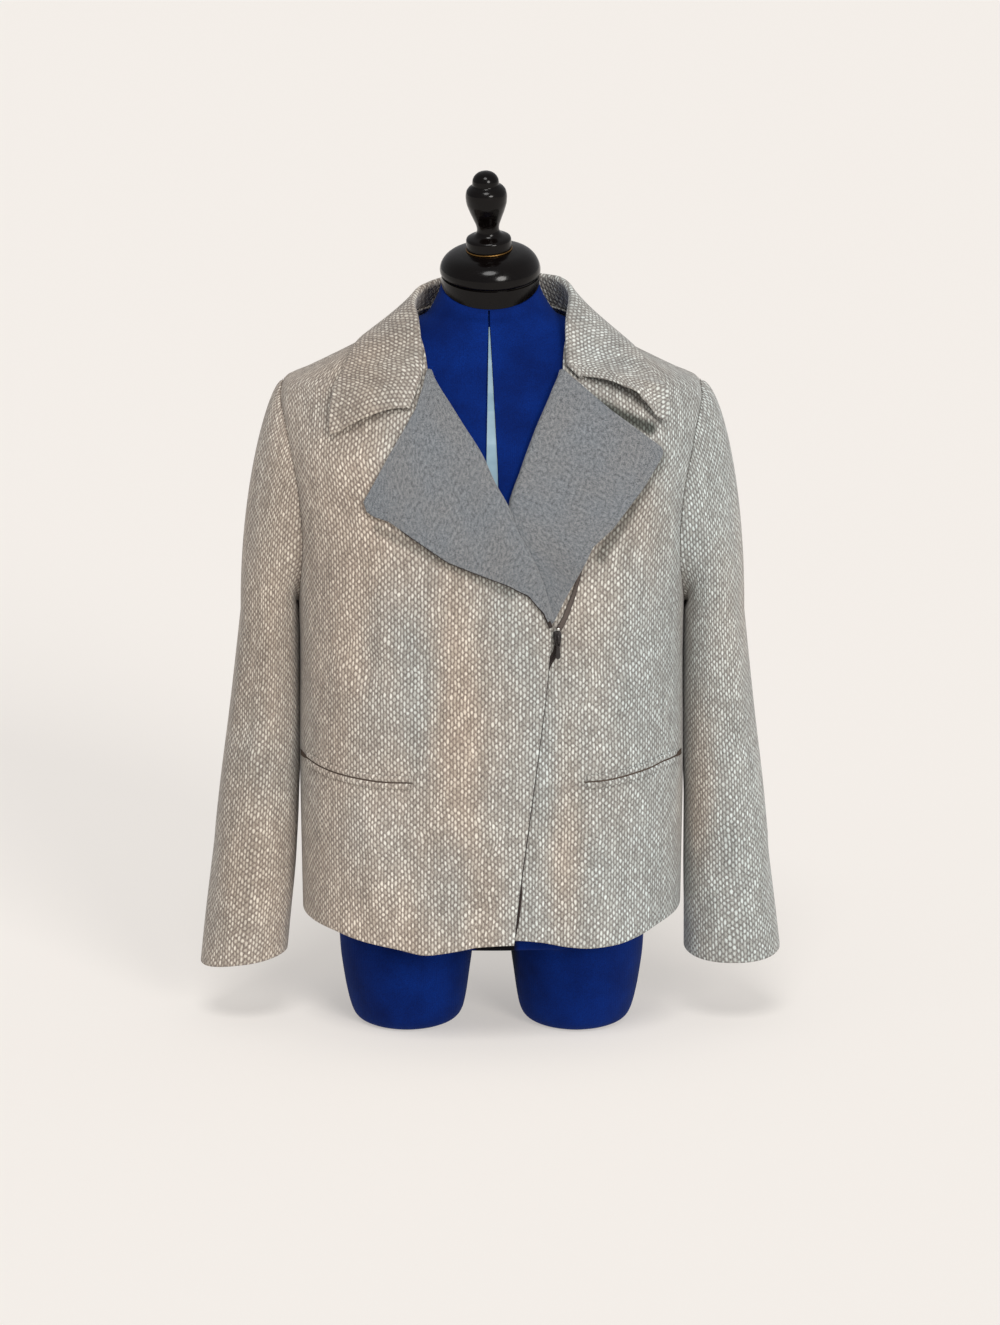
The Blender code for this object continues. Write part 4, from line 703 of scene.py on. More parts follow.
    # Painted shade: along each of those lines the cloth darkens towards dark green-grey, on the front
    # only
    flat_place = vector_on("MULTIPLY", place, (1.0, 0.0, 1.0))
    painted_shade_amount = 0.0
    for (start_x, start_z), (end_x, end_z), half_width, depth in PAINTED_SHADE_LINES:
        run = ((end_x - start_x) * MM, 0.0, (end_z - start_z) * MM)
        apart = vector_on("SUBTRACT", flat_place, (start_x * MM, 0.0, start_z * MM))
        share = add_node(tree, "ShaderNodeMath", {
            0: vector_on("DOT_PRODUCT", apart, run, "Value"),
            1: 1.0 / (run[0] ** 2 + run[2] ** 2)}, operation="MULTIPLY", use_clamp=True).outputs[0]
        nearest = add_node(tree, "ShaderNodeVectorMath", {0: run, "Scale": share},
                           operation="SCALE").outputs[0]
        reach = vector_on("DISTANCE", apart, nearest, "Value")
        shade = math_on("MULTIPLY", ahead, soft(reach, half_width * MM, 0.2 * half_width * MM))
        painted_shade_amount = math_on("MULTIPLY_ADD", shade, depth, painted_shade_amount)
    painted_shade_colour = blend(tree, painted_shade_amount, (1.0, 1.0, 1.0, 1.0), "#565f5a")
    colour_with_painted_light = blend(tree, 1.0, colour_with_painted_light, painted_shade_colour, blend_type="MULTIPLY")
    worn_with_painted_light = add_node(tree, "ShaderNodeHueSaturation", {
        "Color": colour_with_painted_light, "Value": math_on("MULTIPLY_ADD", cloud, 0.34, math_on(
            "MULTIPLY_ADD", slub, 0.42, math_on("MULTIPLY_ADD", yarn, 0.10, 0.52)))}).outputs[0]
    height = math_on("ADD", grain_mask, math_on(
        "ADD", math_on("MULTIPLY", twist, 0.07), math_on("MULTIPLY", fibre, 0.35)))
    finish_material(tree, shader, (height, 0.6, 0.0009), Base_Color=worn_with_painted_light)
    return material


def ease(value):
    """0 below 0, 1 above 1 and a soft step between."""
    value = np.clip(value, 0.0, 1.0)
    return value * value * (3.0 - 2.0 * value)


def relief(creases, across, up):
    """Height of a group of soft creases at places across and up a panel."""
    total = 0.0
    for start_x, start_z, end_x, end_z, width, depth in creases:
        run_x, run_z = end_x - start_x, end_z - start_z
        share = ((across - start_x) * run_x + (up - start_z) * run_z) / (run_x ** 2 + run_z ** 2)
        share = np.clip(share, 0.0, 1.0)
        distance = np.hypot(across - start_x - share * run_x, up - start_z - share * run_z)
        fade = 1.0 - (2.0 * share - 1.0) ** 4
        total = total + depth * fade * np.exp(-(distance / width) ** 2)
    return total


def armhole_reach(z):
    """How far the armhole reaches ahead of, and behind, the side at a height."""
    centre = 0.5 * (ARMHOLE_TOP + ARMHOLE_BOTTOM)
    level = np.clip((z - centre) / (ARMHOLE_TOP - centre), -1.0, 1.0)
    return ARMHOLE_DEPTH * np.sqrt(1.0 - level * level) * (1.0 - ARMHOLE_NARROWING * level)


def shell_side_x(shell, y, z):
    """Half the width of the ring at depth y."""
    ahead = y - shell.at(z, "middle")
    depth = np.where(ahead < 0.0, shell.at(z, "front"), shell.at(z, "back"))
    share = np.minimum(np.abs(ahead) / depth, 1.0)
    square = shell.at(z, "square")
    return shell.at(z, "half_width") * (1.0 - share ** square) ** (1.0 / square)


def side_angle(z, back):
    """The ring angle, from the front, of a panel's side seam, armhole or shoulder seam."""
    reach = armhole_reach(z)
    y = SHELL.at(z, "middle") + (reach if back else -reach)
    angle = shell_angle(SHELL, shell_side_x(SHELL, y, z), z)
    angle = np.where(reach > 0.0, angle, math.radians(90.0))
    return math.pi - angle if back else angle


def weave_place(point):
    """Where a point of the body lies on the flat cloth: across from the centre, and up."""
    x, y, z = point[..., 0], point[..., 1], point[..., 2]
    angles = np.linspace(0.0, math.pi, 181)
    girth = ring_point(SHELL, angles, np.full(181, 400.0))
    steps = np.linalg.norm(np.diff(girth[:, :2], axis=0), axis=1)
    lengths = np.concatenate(([0.0], np.cumsum(steps)))
    ahead = y - SHELL.at(z, "middle")
    depth = np.where(ahead < 0.0, SHELL.at(z, "front"), SHELL.at(z, "back"))
    square = SHELL.at(z, "square") / 2.0
    turn = np.arctan2((np.abs(x) / SHELL.at(z, "half_width")) ** square,
                      -np.sign(ahead) * (np.abs(ahead) / depth) ** square)
    reach = np.interp(turn, angles, lengths)
    reach = np.where(ahead < 0.0, reach, lengths[-1] - reach)
    return np.stack([np.sign(x) * reach, z], axis=-1)


def grid_normals(grid, closed=False):
    """Unit normals of a grid of points, from its neighbours."""
    if closed:
        across = np.roll(grid, -1, axis=1) - np.roll(grid, 1, axis=1)
    else:
        across = np.gradient(grid, axis=1)
    normals = np.cross(across, np.gradient(grid, axis=0))
    return normals / np.maximum(np.linalg.norm(normals, axis=2, keepdims=True), 1e-9)


def unroll(grid, flat, rows, over, closed=False):
    """Lays the steps between rows out in the cloth's own plane.

    rows run on from a row whose flat places stand. The warp points up, and over the top
    along the way given.
    """
    normals = grid_normals(grid, closed)
    upward = np.array([0.0, 0.0, 1.0]) + normals[..., 2:] ** 2 * np.array(over)
    warp = upward - normals * (normals * upward).sum(axis=2, keepdims=True)
    warp = warp / np.maximum(np.linalg.norm(warp, axis=2, keepdims=True), 1e-6)
    weft = np.cross(warp, normals)
    run = np.gradient(grid, axis=1) * np.gradient(flat[..., 0], axis=1)[..., None]
    weft = weft * np.sign((run * weft)[rows[0]].sum())
    for before, row in zip(rows, rows[1:]):
        step = grid[row] - grid[before]
        for axis, way in enumerate((weft, warp)):
            mean = 0.5 * (way[before] + way[row])
            flat[row, :, axis] = flat[before, :, axis] + (step * mean).sum(axis=1)
    return flat


def cloth_mesh(name, face_side, back_side, flat, cells=None, period=0.0):
    """A cloth wall between two equal grids, with a rounded fold along every free edge.

    flat holds each point's place on the uncut cloth, across and up, for the weave. A
    period is the girth of a closed tube, in the way that its columns run.
    """
    rows, columns = face_side.shape[:2]
    spans = columns if period else columns - 1
    if cells is None:
        cells = np.ones((rows - 1, spans), dtype=bool)
    row, column = np.argwhere(cells).T
    after = (column + 1) % columns
    low, high = row * columns, (row + 1) * columns
    squares = np.stack([low + column, low + after, high + after, high + column], axis=1)
    total = rows * columns
    face, back = face_side.reshape(-1, 3), back_side.reshape(-1, 3)
    out = np.zeros((total, 3))
    np.add.at(out, squares, face[squares] - face[squares].mean(axis=1, keepdims=True))
    through = back - face
    thickness = np.linalg.norm(through, axis=1, keepdims=True)
    through = through / np.maximum(thickness, 1e-6)
    out = out - through * (out * through).sum(axis=1, keepdims=True)
    out = out / np.maximum(np.linalg.norm(out, axis=1, keepdims=True), 1e-6)
    middle = 0.5 * (face + back) + out * thickness * 0.45
    borders = {}
    for square in squares.tolist():
        for start, end in zip(square, square[1:] + square[:1]):
            if borders.pop((end, start), None) is None:
                borders[(start, end)] = True
    edges = np.array(list(borders))
    starts, ends = edges[:, 0], edges[:, 1]
    rims = np.concatenate((
        np.stack([ends, starts, 2 * total + starts, 2 * total + ends], axis=1),
        np.stack([2 * total + ends, 2 * total + starts, total + starts, total + ends], axis=1)))
    faces = np.concatenate((squares, total + squares[:, ::-1], rims))
    places = np.tile(flat.reshape(-1, 2), (3, 1))[faces]
    if period:
        in_row = faces % total % columns
        last = (in_row == 0) & (in_row.max(axis=1, keepdims=True) == columns - 1)
        places[..., 0] += period * last
    points = np.concatenate((face, back, middle)) * MM
    used, numbers = np.unique(faces, return_inverse=True)
    mesh = bpy.data.meshes.new(name)
    mesh.from_pydata(points[used], [], numbers.reshape(faces.shape).tolist())
    uv = mesh.uv_layers.new(name="weave")
    uv.data.foreach_set("uv", (places * MM).astype(np.float32).ravel())
    settle_normals(mesh)
    mesh.shade_smooth()
    return mesh


def add_cloth(name, mesh, material, node):
    """A finished sheet of cloth that stands for its CAD node."""
    piece = add_object(name, mesh, material)
    stand_for(piece, node)
    mesh.calc_loop_triangles()
    return piece


def near_edges(count, edge=0.006):
    """Shares from 0 to 1 with one more step close to each end."""
    return np.concatenate(([0.0, edge], np.linspace(0.0, 1.0, count)[1:-1], [1.0 - edge, 1.0]))


SHELL = Table(FORM_COLUMNS, SHELL_ROWS)
tweed = woven_tweed("hopsack_tweed")
ARMHOLE_LEVELS = ARMHOLE_BOTTOM + 14.0 * (np.arange(1, 8) / 7.0) ** 2
BODY_LEVELS = np.concatenate(([HEM, 113.2], np.linspace(118, ARMHOLE_BOTTOM, 56)))
BACK_LEVELS = np.concatenate((
    BODY_LEVELS, ARMHOLE_LEVELS, np.linspace(450, 640, 34),
    [643.5, 646.0, 648.0, 649.3, ARMHOLE_TOP, 652.0, 655.0], np.linspace(659, 711, 12),
    [NECK_TOP]))
back_share = near_edges(90, 0.003)[None, :]
back_z = BACK_LEVELS[:, None]
back_start = side_angle(back_z, True)
back_angle = back_start + (2.0 * math.pi - 2.0 * back_start) * back_share
back_middle = np.sin(math.pi * back_share)
back_low = np.clip(1.0 - (back_z - HEM) / HEM_FADE, 0.0, 1.0) ** 1.5
back_high = ease((back_z - BACK_NECK_START) / (NECK_TOP - BACK_NECK_START))
back_lift = (BACK_HEM_RISE - BACK_HEM_DIP * back_middle) * back_low
back_lift = back_lift + BACK_NECK_RISE * back_middle ** 2 * back_high
back_points = ring_point(SHELL, back_angle, back_z + back_lift)
back_points[:, (0, -1), 1] += np.where(armhole_reach(back_z) > 0.0, 0.0, SEAM_GAP)
back_out = outward(SHELL, back_points)
back_relief = relief(BACK_CREASES, back_points[..., 0], back_z) * ease(back_middle * 4.0)
back_face = back_points + back_out * (TWEED + back_relief)[..., None]
back_inner = back_points + back_out * back_relief[..., None]
first_sloped_row = int(np.argmin(np.abs(BACK_LEVELS - SLOPE_START)))
back_flat = unroll(back_points, weave_place(back_points),
                   range(first_sloped_row, len(BACK_LEVELS)), (0.0, -1.0, 0.0))
add_cloth("back_cloth", cloth_mesh("back_cloth", back_face, back_inner, back_flat), tweed,
          "back")


# -------------------------------------------------- jacket's fronts and facings
# Two fronts of hopsack tweed, the right one lapped over the left. Each one turns
# back in one piece above the zip as a wide lapel faced with mid-grey wool flannel.
RIGHT_INNER = Table(("height", "x"), (
    (90, 20), (117, 22), (170, 27.5), (220, 34), (280, 42), (340, 49.5), (380, 54), (430, 57),
    (460, 50), (480, 44), (503, 34), (525, 21.5), (548, 12.5), (570, -0.5), (594, -12), (629, -36),
    (669, -62), (690, -66), (702, -70), (708, -74), (712, -78),
))
LEFT_INNER = Table(("height", "x"), (
    (90, 8), (117, 10), (220, 22), (300, 32), (400, 44), (430, 48),
    (460, 46), (484, 40), (524, 24.5), (545, 20.5), (584, 32.5), (620, 47), (650, 62),
    (669, 70), (690, 71.5), (702, 74), (708, 77), (712, 80),
))
RIGHT_HEM = Table(("x", "rise"), (
    (-190, 8), (-160, 5.5), (-130, 0), (-90, -5), (-66, -9), (-41, -5.5), (-11, 0), (30, 2),
))
LEFT_HEM = Table(("x", "rise"), (
    (0, 4), (25, 5.5), (48, 3.5), (77, -2.5), (100, -5), (120, -4), (147, 2), (167, 9), (190, 13),
))
BREAK, GORGE = 430.0, 669.0
RIGHT_LAPEL_EDGE = ((58, 430), (50, 449), (36, 466), (17, 476), (-11, 486.5), (-41, 498.5),
                    (-69, 516), (-97, 534), (-110, 537.5), (-118, 542), (-121, 551))
RIGHT_LAPEL_TOP = ((-62, 669), (-66, 654), (-73, 635), (-98, 594), (-121, 551))
LEFT_LAPEL_EDGE = ((48, 430), (60, 437), (77, 472), (94, 510), (113, 527), (142, 566), (156, 588),
                   (159, 594), (157, 598.5))
LEFT_LAPEL_TOP = ((70, 669), (83, 658), (104, 642), (130, 621), (157, 598.5))
RIGHT_FOLD_RADIUS, LEFT_FOLD_RADIUS = 2.0, 1.6
# Where the right front rises over the left one, and the left one sinks under it
RIGHT_RISE, RISE_START, RISE_RUN, RISE_END, RISE_FADE = 3.3, 395.0, 50.0, 560.0, 60.0
RISE_FROM_EDGE, RISE_WIDTH = 8.0, 34.0
LEFT_SINK, SINK_END, SINK_X, SINK_RUN = 6.5, 572.0, 62.0, 80.0
CREASE_SIDE, CREASE_SIDE_RUN = 150.0, 34.0
LAPEL_SPACE = 2.6
RIGHT_SPRING, LEFT_SPRING = 1.0, 10.0
SPRING_START, SPRING_RUN = 470.0, 60.0
LAYER_GAP = 0.4
FLANNEL = 1.2
FACING_TUCK = 3.0
# Creases: start and end across and up, half width and depth (below zero is a trough)
CREASE_STRENGTH = 1.35
FRONT_CREASES = (
    (-126, 500, -122, 330, 12, -2.2),
    (-108, 470, -104, 340, 13, 1.5),
    (14, 412, -86, 196, 22, 2.6),
    (-16, 400, -112, 214, 17, -2.2),
    (-150, 420, -92, 372, 13, -2.4),
    (-160, 392, -104, 330, 14, 1.8),
    (-66, 262, -74, 125, 18, -1.8),
    (-118, 262, -108, 125, 17, 2.0),
    (168, 540, 160, 410, 11, -2.2),
    (150, 424, 104, 380, 13, -2.2),
    (162, 392, 112, 342, 14, 1.8),
    (80, 336, 76, 120, 12, -2.2),
    (104, 330, 110, 122, 17, 1.8),
    (136, 260, 142, 125, 15, -1.8),
    (-150, 560, -128, 470, 13, -1.8),
)


def side_fade(x):
    """Creases die out towards the side seams, under the sleeves."""
    return 1.0 - ease((np.abs(x) - CREASE_SIDE) / CREASE_SIDE_RUN)


def right_height(x, z):
    """The right front rises where it lies on the left one."""
    level = ease((z - RISE_START) / RISE_RUN) * (1.0 - ease((z - RISE_END) / RISE_FADE))
    inside = RIGHT_INNER.at(z, "x") - x - RISE_FROM_EDGE
    return RIGHT_RISE * level * (1.0 - ease(inside / RISE_WIDTH))


def left_height(x, z):
    """The left front sinks where the right one covers it."""
    level = 1.0 - ease((z - SINK_END) / SINK_RUN)
    return -LEFT_SINK * level * (1.0 - ease((x - SINK_X) / SINK_RUN))


def along_path(points, share):
    """Points at shares of a polyline's length."""
    points = np.array(points, dtype=float)
    reached = np.concatenate(([0.0], np.cumsum(np.linalg.norm(np.diff(points, axis=0), axis=1))))
    place = share * reached[-1]
    return np.stack([np.interp(place, reached, points[:, axis]) for axis in (0, 1)], axis=-1)


class Front:
    """One front with its lapel, as places across and up and heights above the shell.

    spring is how far the lapel's outer edge stands off the cloth below it.
    """

    def __init__(self, side, inner, hem, base_height, fold_radius, lapel_edge, lapel_top, spring):
        self.side = side
        self.inner = inner
        self.hem = hem
        self.base_height = base_height
        self.fold_radius = fold_radius
        self.lapel_edge = lapel_edge
        self.lapel_top = lapel_top
        self.spring = spring

    def lie(self, x, z):
        """Height of the cloth's inner side above the shell."""
        return self.base_height(x, z) + CREASE_STRENGTH * relief(FRONT_CREASES, x, z) * side_fade(x)

    def place(self, x, z, height):
        """A point at a height above where the cloth lies."""
        x, z = np.broadcast_arrays(x, z)
        point = ring_point(SHELL, shell_angle(SHELL, x, z), z)
        return point + outward(SHELL, point) * np.asarray(self.lie(x, z) + height)[..., None]

    def body_point(self, z, share):
        """Point on the shell, its outward normal and its height; share is 1 at the inner edge."""
        start = self.side * side_angle(z, False)
        end = shell_angle(SHELL, self.inner.at(z, "x"), z)
        angle = start + (end - start) * share
        x = ring_point(SHELL, angle, z)[..., 0]
        hung = z + self.hem.at(x, "rise") * np.clip(1.0 - (z - HEM) / HEM_FADE, 0.0, 1.0) ** 1.5
        point = ring_point(SHELL, angle, hung)
        return point, outward(SHELL, point), self.lie(point[..., 0], hung)[..., None]

    def roll_frame(self, z):
        """Point, outward normal and direction towards the neck opening at the roll line."""
        point = self.place(self.inner.at(z, "x"), z, 0.0)
        ahead = self.place(self.inner.at(z + 1.0, "x"), z + 1.0, 0.0)
        normal = outward(SHELL, point)
        return point, normal, unit(np.cross(normal, unit(ahead - point)) * self.side)

    def fold_point(self, z, turn, radius, centre_height):
        """Points of the fold; turn runs from 0 under the cloth to 1 on top of it."""
        point, normal, towards = self.roll_frame(z)
        angle = math.pi * turn[..., None]
        out = centre_height - radius * np.cos(angle)
        return point + normal * out + towards * radius * np.sin(angle)

    def lapel_place(self, z, share):
        """x and height of the lapel, share 0 at the roll line and 1 at its outer edge."""
        z, share = np.broadcast_arrays(z, share)
        level = ((z - BREAK) / (GORGE - BREAK))[..., None]
        roll = np.stack([self.inner.at(z, "x"), z], axis=-1)
        edge = along_path(self.lapel_edge, level[..., 0])
        top = along_path(self.lapel_top, share)
        roll_end = np.array([self.inner.at(GORGE, "x"), GORGE])
        straight_top = roll_end + (np.array(self.lapel_edge[-1]) - roll_end) * share[..., None]
        return roll + (edge - roll) * share[..., None] + (top - straight_top) * level ** 2

    def lapel_point(self, z, share, extra):
        """Points of the lapel's tweed, moved out by extra from its middle."""
        flat = self.lapel_place(z, share)
        fold_top = TWEED * 0.5 + 2.0 * self.fold_radius
        resting = TWEED * 1.5 + LAPEL_SPACE * 0.5
        height = fold_top + (resting - fold_top) * ease(share / 0.6)
        level = ease((z - SPRING_START) / SPRING_RUN)
        height = height + self.spring * level * ease((share - 0.35) / 0.65)
        return self.place(flat[..., 0], flat[..., 1], height + extra)


right_front = Front(-1.0, RIGHT_INNER, RIGHT_HEM, right_height, RIGHT_FOLD_RADIUS,
                    RIGHT_LAPEL_EDGE, RIGHT_LAPEL_TOP, RIGHT_SPRING)
left_front = Front(1.0, LEFT_INNER, LEFT_HEM, left_height, LEFT_FOLD_RADIUS,
                   LEFT_LAPEL_EDGE, LEFT_LAPEL_TOP, LEFT_SPRING)
BREAK_LEVELS = BREAK + 12.0 * (np.arange(1, 7) / 6.0) ** 2
LAPEL_LEVELS = np.concatenate((
    [BREAK_LEVELS[-1], 442.8], np.linspace(447, 645, 45),
    [647.2, 648.6, 649.4, ARMHOLE_TOP, 652.0, 654.0, 656.0, 659.0, 662.0, 665.0, 668.2, GORGE]))
FRONT_LEVELS = np.concatenate((
    BODY_LEVELS, BREAK_LEVELS[:-1], LAPEL_LEVELS, np.linspace(673, 711, 9), [NECK_TOP]))
BODY_SHARES = near_edges(46, 0.004)
FOLD_TURNS = np.arange(1, 9) / 8.0
LAPEL_SHARES = np.concatenate((np.linspace(0.0, 1.0, 26)[1:-1], [0.99, 1.0]))
first_lapel_row = int(np.argmin(np.abs(FRONT_LEVELS - LAPEL_LEVELS[0])))
last_lapel_row = first_lapel_row + len(LAPEL_LEVELS) - 1


def front_mesh(name, front):
    """A front's body, the fold at its roll line and its turned-back lapel, in one piece."""
    z = FRONT_LEVELS[:, None]
    half = TWEED * 0.5
    point, normal, height = front.body_point(z, BODY_SHARES[None, :])
    count = len(BODY_SHARES)
    columns = count + len(FOLD_TURNS) + len(LAPEL_SHARES)
    grids = np.zeros((2, len(FRONT_LEVELS), columns, 3))
    grids[0, :, :count] = point + normal * (height + TWEED)
    grids[1, :, :count] = point + normal * height
    flat = np.zeros((len(FRONT_LEVELS), columns, 2))
    sloped = int(np.argmin(np.abs(FRONT_LEVELS - SLOPE_START)))
    flat[:, :count] = unroll(point, weave_place(point), range(sloped, len(FRONT_LEVELS)),
                             (0.0, 1.0, 0.0))
    band = slice(first_lapel_row, last_lapel_row + 1)
    z = LAPEL_LEVELS[:, None]
    for grid, turned in ((grids[0], -half), (grids[1], half)):
        radius = front.fold_radius
        grid[band, count:count + len(FOLD_TURNS)] = front.fold_point(
            z, np.broadcast_to(FOLD_TURNS, (len(LAPEL_LEVELS), len(FOLD_TURNS))),
            radius + turned, half + radius)
        grid[band, count + len(FOLD_TURNS):] = front.lapel_point(z, LAPEL_SHARES[None, :], turned)
    edge = flat[band, count - 1:count]
    beyond = grids[1][band, count - 1:]
    steps = np.linalg.norm(np.diff(beyond, axis=1), axis=2)
    flat[band, count:, 0] = edge[..., 0] - front.side * np.cumsum(steps, axis=1)
    flat[band, count:, 1] = edge[..., 1]
    cells = np.zeros((len(FRONT_LEVELS) - 1, columns - 1), dtype=bool)
    cells[:, :count - 1] = True
    cells[first_lapel_row:last_lapel_row, count - 1:] = True
    return cloth_mesh(name, grids[0], grids[1], flat, cells)


FACING_SHIFT = TWEED * 0.5 + LAYER_GAP + FLANNEL * 0.5


def facing_mesh(name, front):
    """The facing on a lapel, tucked in under the fold at the roll line."""
    z = LAPEL_LEVELS[:, None]
    turns = np.broadcast_to(np.concatenate(([0.0], FOLD_TURNS)),
                            (len(LAPEL_LEVELS), len(FOLD_TURNS) + 1))
    _, normal, towards = front.roll_frame(z)
    sides = []
    for extra in (FLANNEL * 0.5, -FLANNEL * 0.5):
        radius = front.fold_radius + FACING_SHIFT + extra
        fold = front.fold_point(z, turns, radius, TWEED * 0.5 + front.fold_radius)
        tuck = fold[:, :1] - towards * FACING_TUCK - normal * LAYER_GAP
        lapel = front.lapel_point(z, LAPEL_SHARES[None, :], FACING_SHIFT + extra)
        sides.append(np.concatenate((tuck, fold, lapel), axis=1))
    steps = np.linalg.norm(np.diff(sides[0], axis=1), axis=2)
    across = np.concatenate((np.zeros((len(LAPEL_LEVELS), 1)), np.cumsum(steps, axis=1)), axis=1)
    flat = np.stack([across, np.broadcast_to(z, across.shape)], axis=-1)
    return cloth_mesh(name, sides[0], sides[1], flat)


flannel, flannel_tree, flannel_shader = start_material(
    "grey_wool_flannel", Roughness=0.95, Specular_IOR_Level=0.15, Sheen_Weight=0.3,
    Sheen_Roughness=0.45)
# Milled mid-grey wool: a cloudy mix of light and dark fibre with hardly any weave.
flannel_place = weave_map(flannel_tree)
flannel_sum = calc(flannel_tree, "MULTIPLY_ADD", noise(flannel_tree, flannel_place, 330.0, 3.0, 0.62),
                   0.6, noise(flannel_tree, flannel_place, 1400.0, 3.0))
flannel_warmth = spread(flannel_tree, noise(flannel_tree, flannel_place, 22.0), 0.35, 0.65)
flannel_light = blend(flannel_tree, flannel_warmth, "#878b8f", "#8b8c8d")
flannel_share = spread(flannel_tree, flannel_sum, 0.62, 0.96)
finish_material(flannel_tree, flannel_shader, (flannel_sum, 0.4, 0.0004),
                Base_Color=blend(flannel_tree, flannel_share, "#414448", flannel_light))

for front_side, front, front_flat, front_under in (
    ("right", right_front, (0.38, 0.66), ["form_body", "front_left"]),
    ("left", left_front, (0.37, 0.66), ["form_body"]),
):
    front_name = "front_" + front_side
    add_cloth(front_name + "_cloth", front_mesh(front_name + "_cloth", front), tweed,
              front_name)
for facing_side, front, facing_flat in (
    ("right", right_front, (0.17, 0.27)),
    ("left", left_front, (0.15, 0.26)),
):
    facing_name = "lapel_facing_" + facing_side
    add_cloth(facing_name + "_cloth", facing_mesh(facing_name + "_cloth", front), flannel,
              facing_name)


# ----------------------------------------------------------------- jacket's sleeves
# Plain long set-in sleeves of the same tweed, one seam at the underarm, that hang
# from full sleeve heads. Outer and inner sides are distances from the body's middle.
SLEEVE_COLUMNS = ("height", "outer", "inner", "front", "back", "slope", "pitch")
RIGHT_SLEEVE = Table(SLEEVE_COLUMNS, (
    (66, 294, 206, -52, 44, -13, 0),
    (100, 290, 203, -54, 45, -7, 0),
    (170, 281, 196.5, -58, 50, 0, 0),
    (240, 273, 193.2, -60, 54, 0, 0),
    (330, 261, 192.6, -62, 58, 0, 0),
    (422, 250, 192.8, -64, 62, 0, 0),
))
LEFT_SLEEVE = Table(SLEEVE_COLUMNS, (
    (76, 291, 194, -54, 42, 0, 14),
    (110, 287, 193.8, -55, 44, 0, 7),
    (170, 280, 193.0, -58, 49, 0, 0),
    (240, 273, 193.0, -60, 54, 0, 0),
    (330, 262, 192.6, -62, 58, 0, 0),
    (422, 252, 192.8, -64, 62, 0, 0),
))
RIGHT_CAP_OUT, LEFT_CAP_OUT = 12.0, 20.0
ARMHOLE_GAP = 0.8
SLEEVE_GIRTH = 302.0
# Creases lie between the cuff and the sleeve head, and not where the sleeve meets the body
CREASE_CUFF_RUN, CREASE_HEAD, CREASE_HEAD_RUN = 40.0, 640.0, 60.0
HIDDEN_FROM, HIDDEN_RUN = 0.29, 0.1
# The sleeve swells a little where it presses on the body
SLEEVE_TOUCH, TOUCH_FOOT, TOUCH_RUN, TOUCH_TOP, TOUCH_FADE = 1.6, 225.0, 60.0, 420.0, 30.0
TOUCH_FROM = 0.3
# Creases: start and end round the sleeve (0 is the outside, positive is the front) and up
RIGHT_SLEEVE_CREASES = (
    (34, 486, 30, 200, 11, 1.9),
    (62, 470, 56, 230, 11, -2.0),
    (88, 330, 20, 292, 10, -2.4),
    (92, 304, 30, 262, 10, 2.0),
    (-20, 320, -84, 280, 12, -2.2),
    (-24, 292, -92, 250, 12, 1.8),
    (10, 200, 34, 80, 12, -1.6),
    (-30, 560, -42, 420, 14, -1.8),
)
LEFT_SLEEVE_CREASES = (
    (78, 350, 86, 120, 11, -2.0),
    (54, 460, 48, 250, 13, 1.8),
    (86, 322, 24, 284, 10, -2.2),
    (84, 292, 20, 258, 10, 1.8),
    (-26, 330, -88, 284, 12, -2.2),
    (-20, 296, -80, 256, 12, 1.8),
    (4, 190, 26, 90, 13, -1.5),
    (26, 580, 40, 470, 12, -1.6),
)


def armhole_point(turn, side, height):
    """Points just inside the armhole; turn is 0 at the shoulder, a quarter at the front."""
    centre = 0.5 * (ARMHOLE_TOP + ARMHOLE_BOTTOM)
    z = centre + (ARMHOLE_TOP - centre) * np.cos(2.0 * math.pi * turn)
    back = np.sin(2.0 * math.pi * turn) < 0.0
    reach = armhole_reach(z)
    share = 1.0 - ARMHOLE_GAP / np.maximum(np.hypot(reach, z - centre), 1.0)
    z = centre + (z - centre) * share
    y = SHELL.at(z, "middle") + np.where(back, reach, -reach) * share
    point = np.stack([side * shell_side_x(SHELL, y, z), y, z], axis=-1)
    return point + outward(SHELL, point) * height


def tube_point(table, turn, z, side):
    """Points of the hanging sleeve at a turn and a height."""
    outer, inner = table.at(z, "outer"), table.at(z, "inner")
    front, back = table.at(z, "front"), table.at(z, "back")
    across, ahead = np.cos(2.0 * math.pi * turn), np.sin(2.0 * math.pi * turn)
    x = 0.5 * (outer + inner) + 0.5 * (outer - inner) * np.sign(across) * np.abs(across) ** 0.9
    y = 0.5 * (front + back) - 0.5 * (back - front) * np.sign(ahead) * np.abs(ahead) ** 0.9
    rise = 0.5 * table.at(z, "slope") * across - 0.5 * table.at(z, "pitch") * ahead
    return np.stack([side * x, y, z + rise], axis=-1)


def bezier(a, b, c, d, t):
    """Points of a curve from a to d that sets out towards b and comes in from c."""
    s = 1.0 - t
    return a * s ** 3 + b * 3.0 * s * s * t + c * 3.0 * s * t * t + d * t ** 3


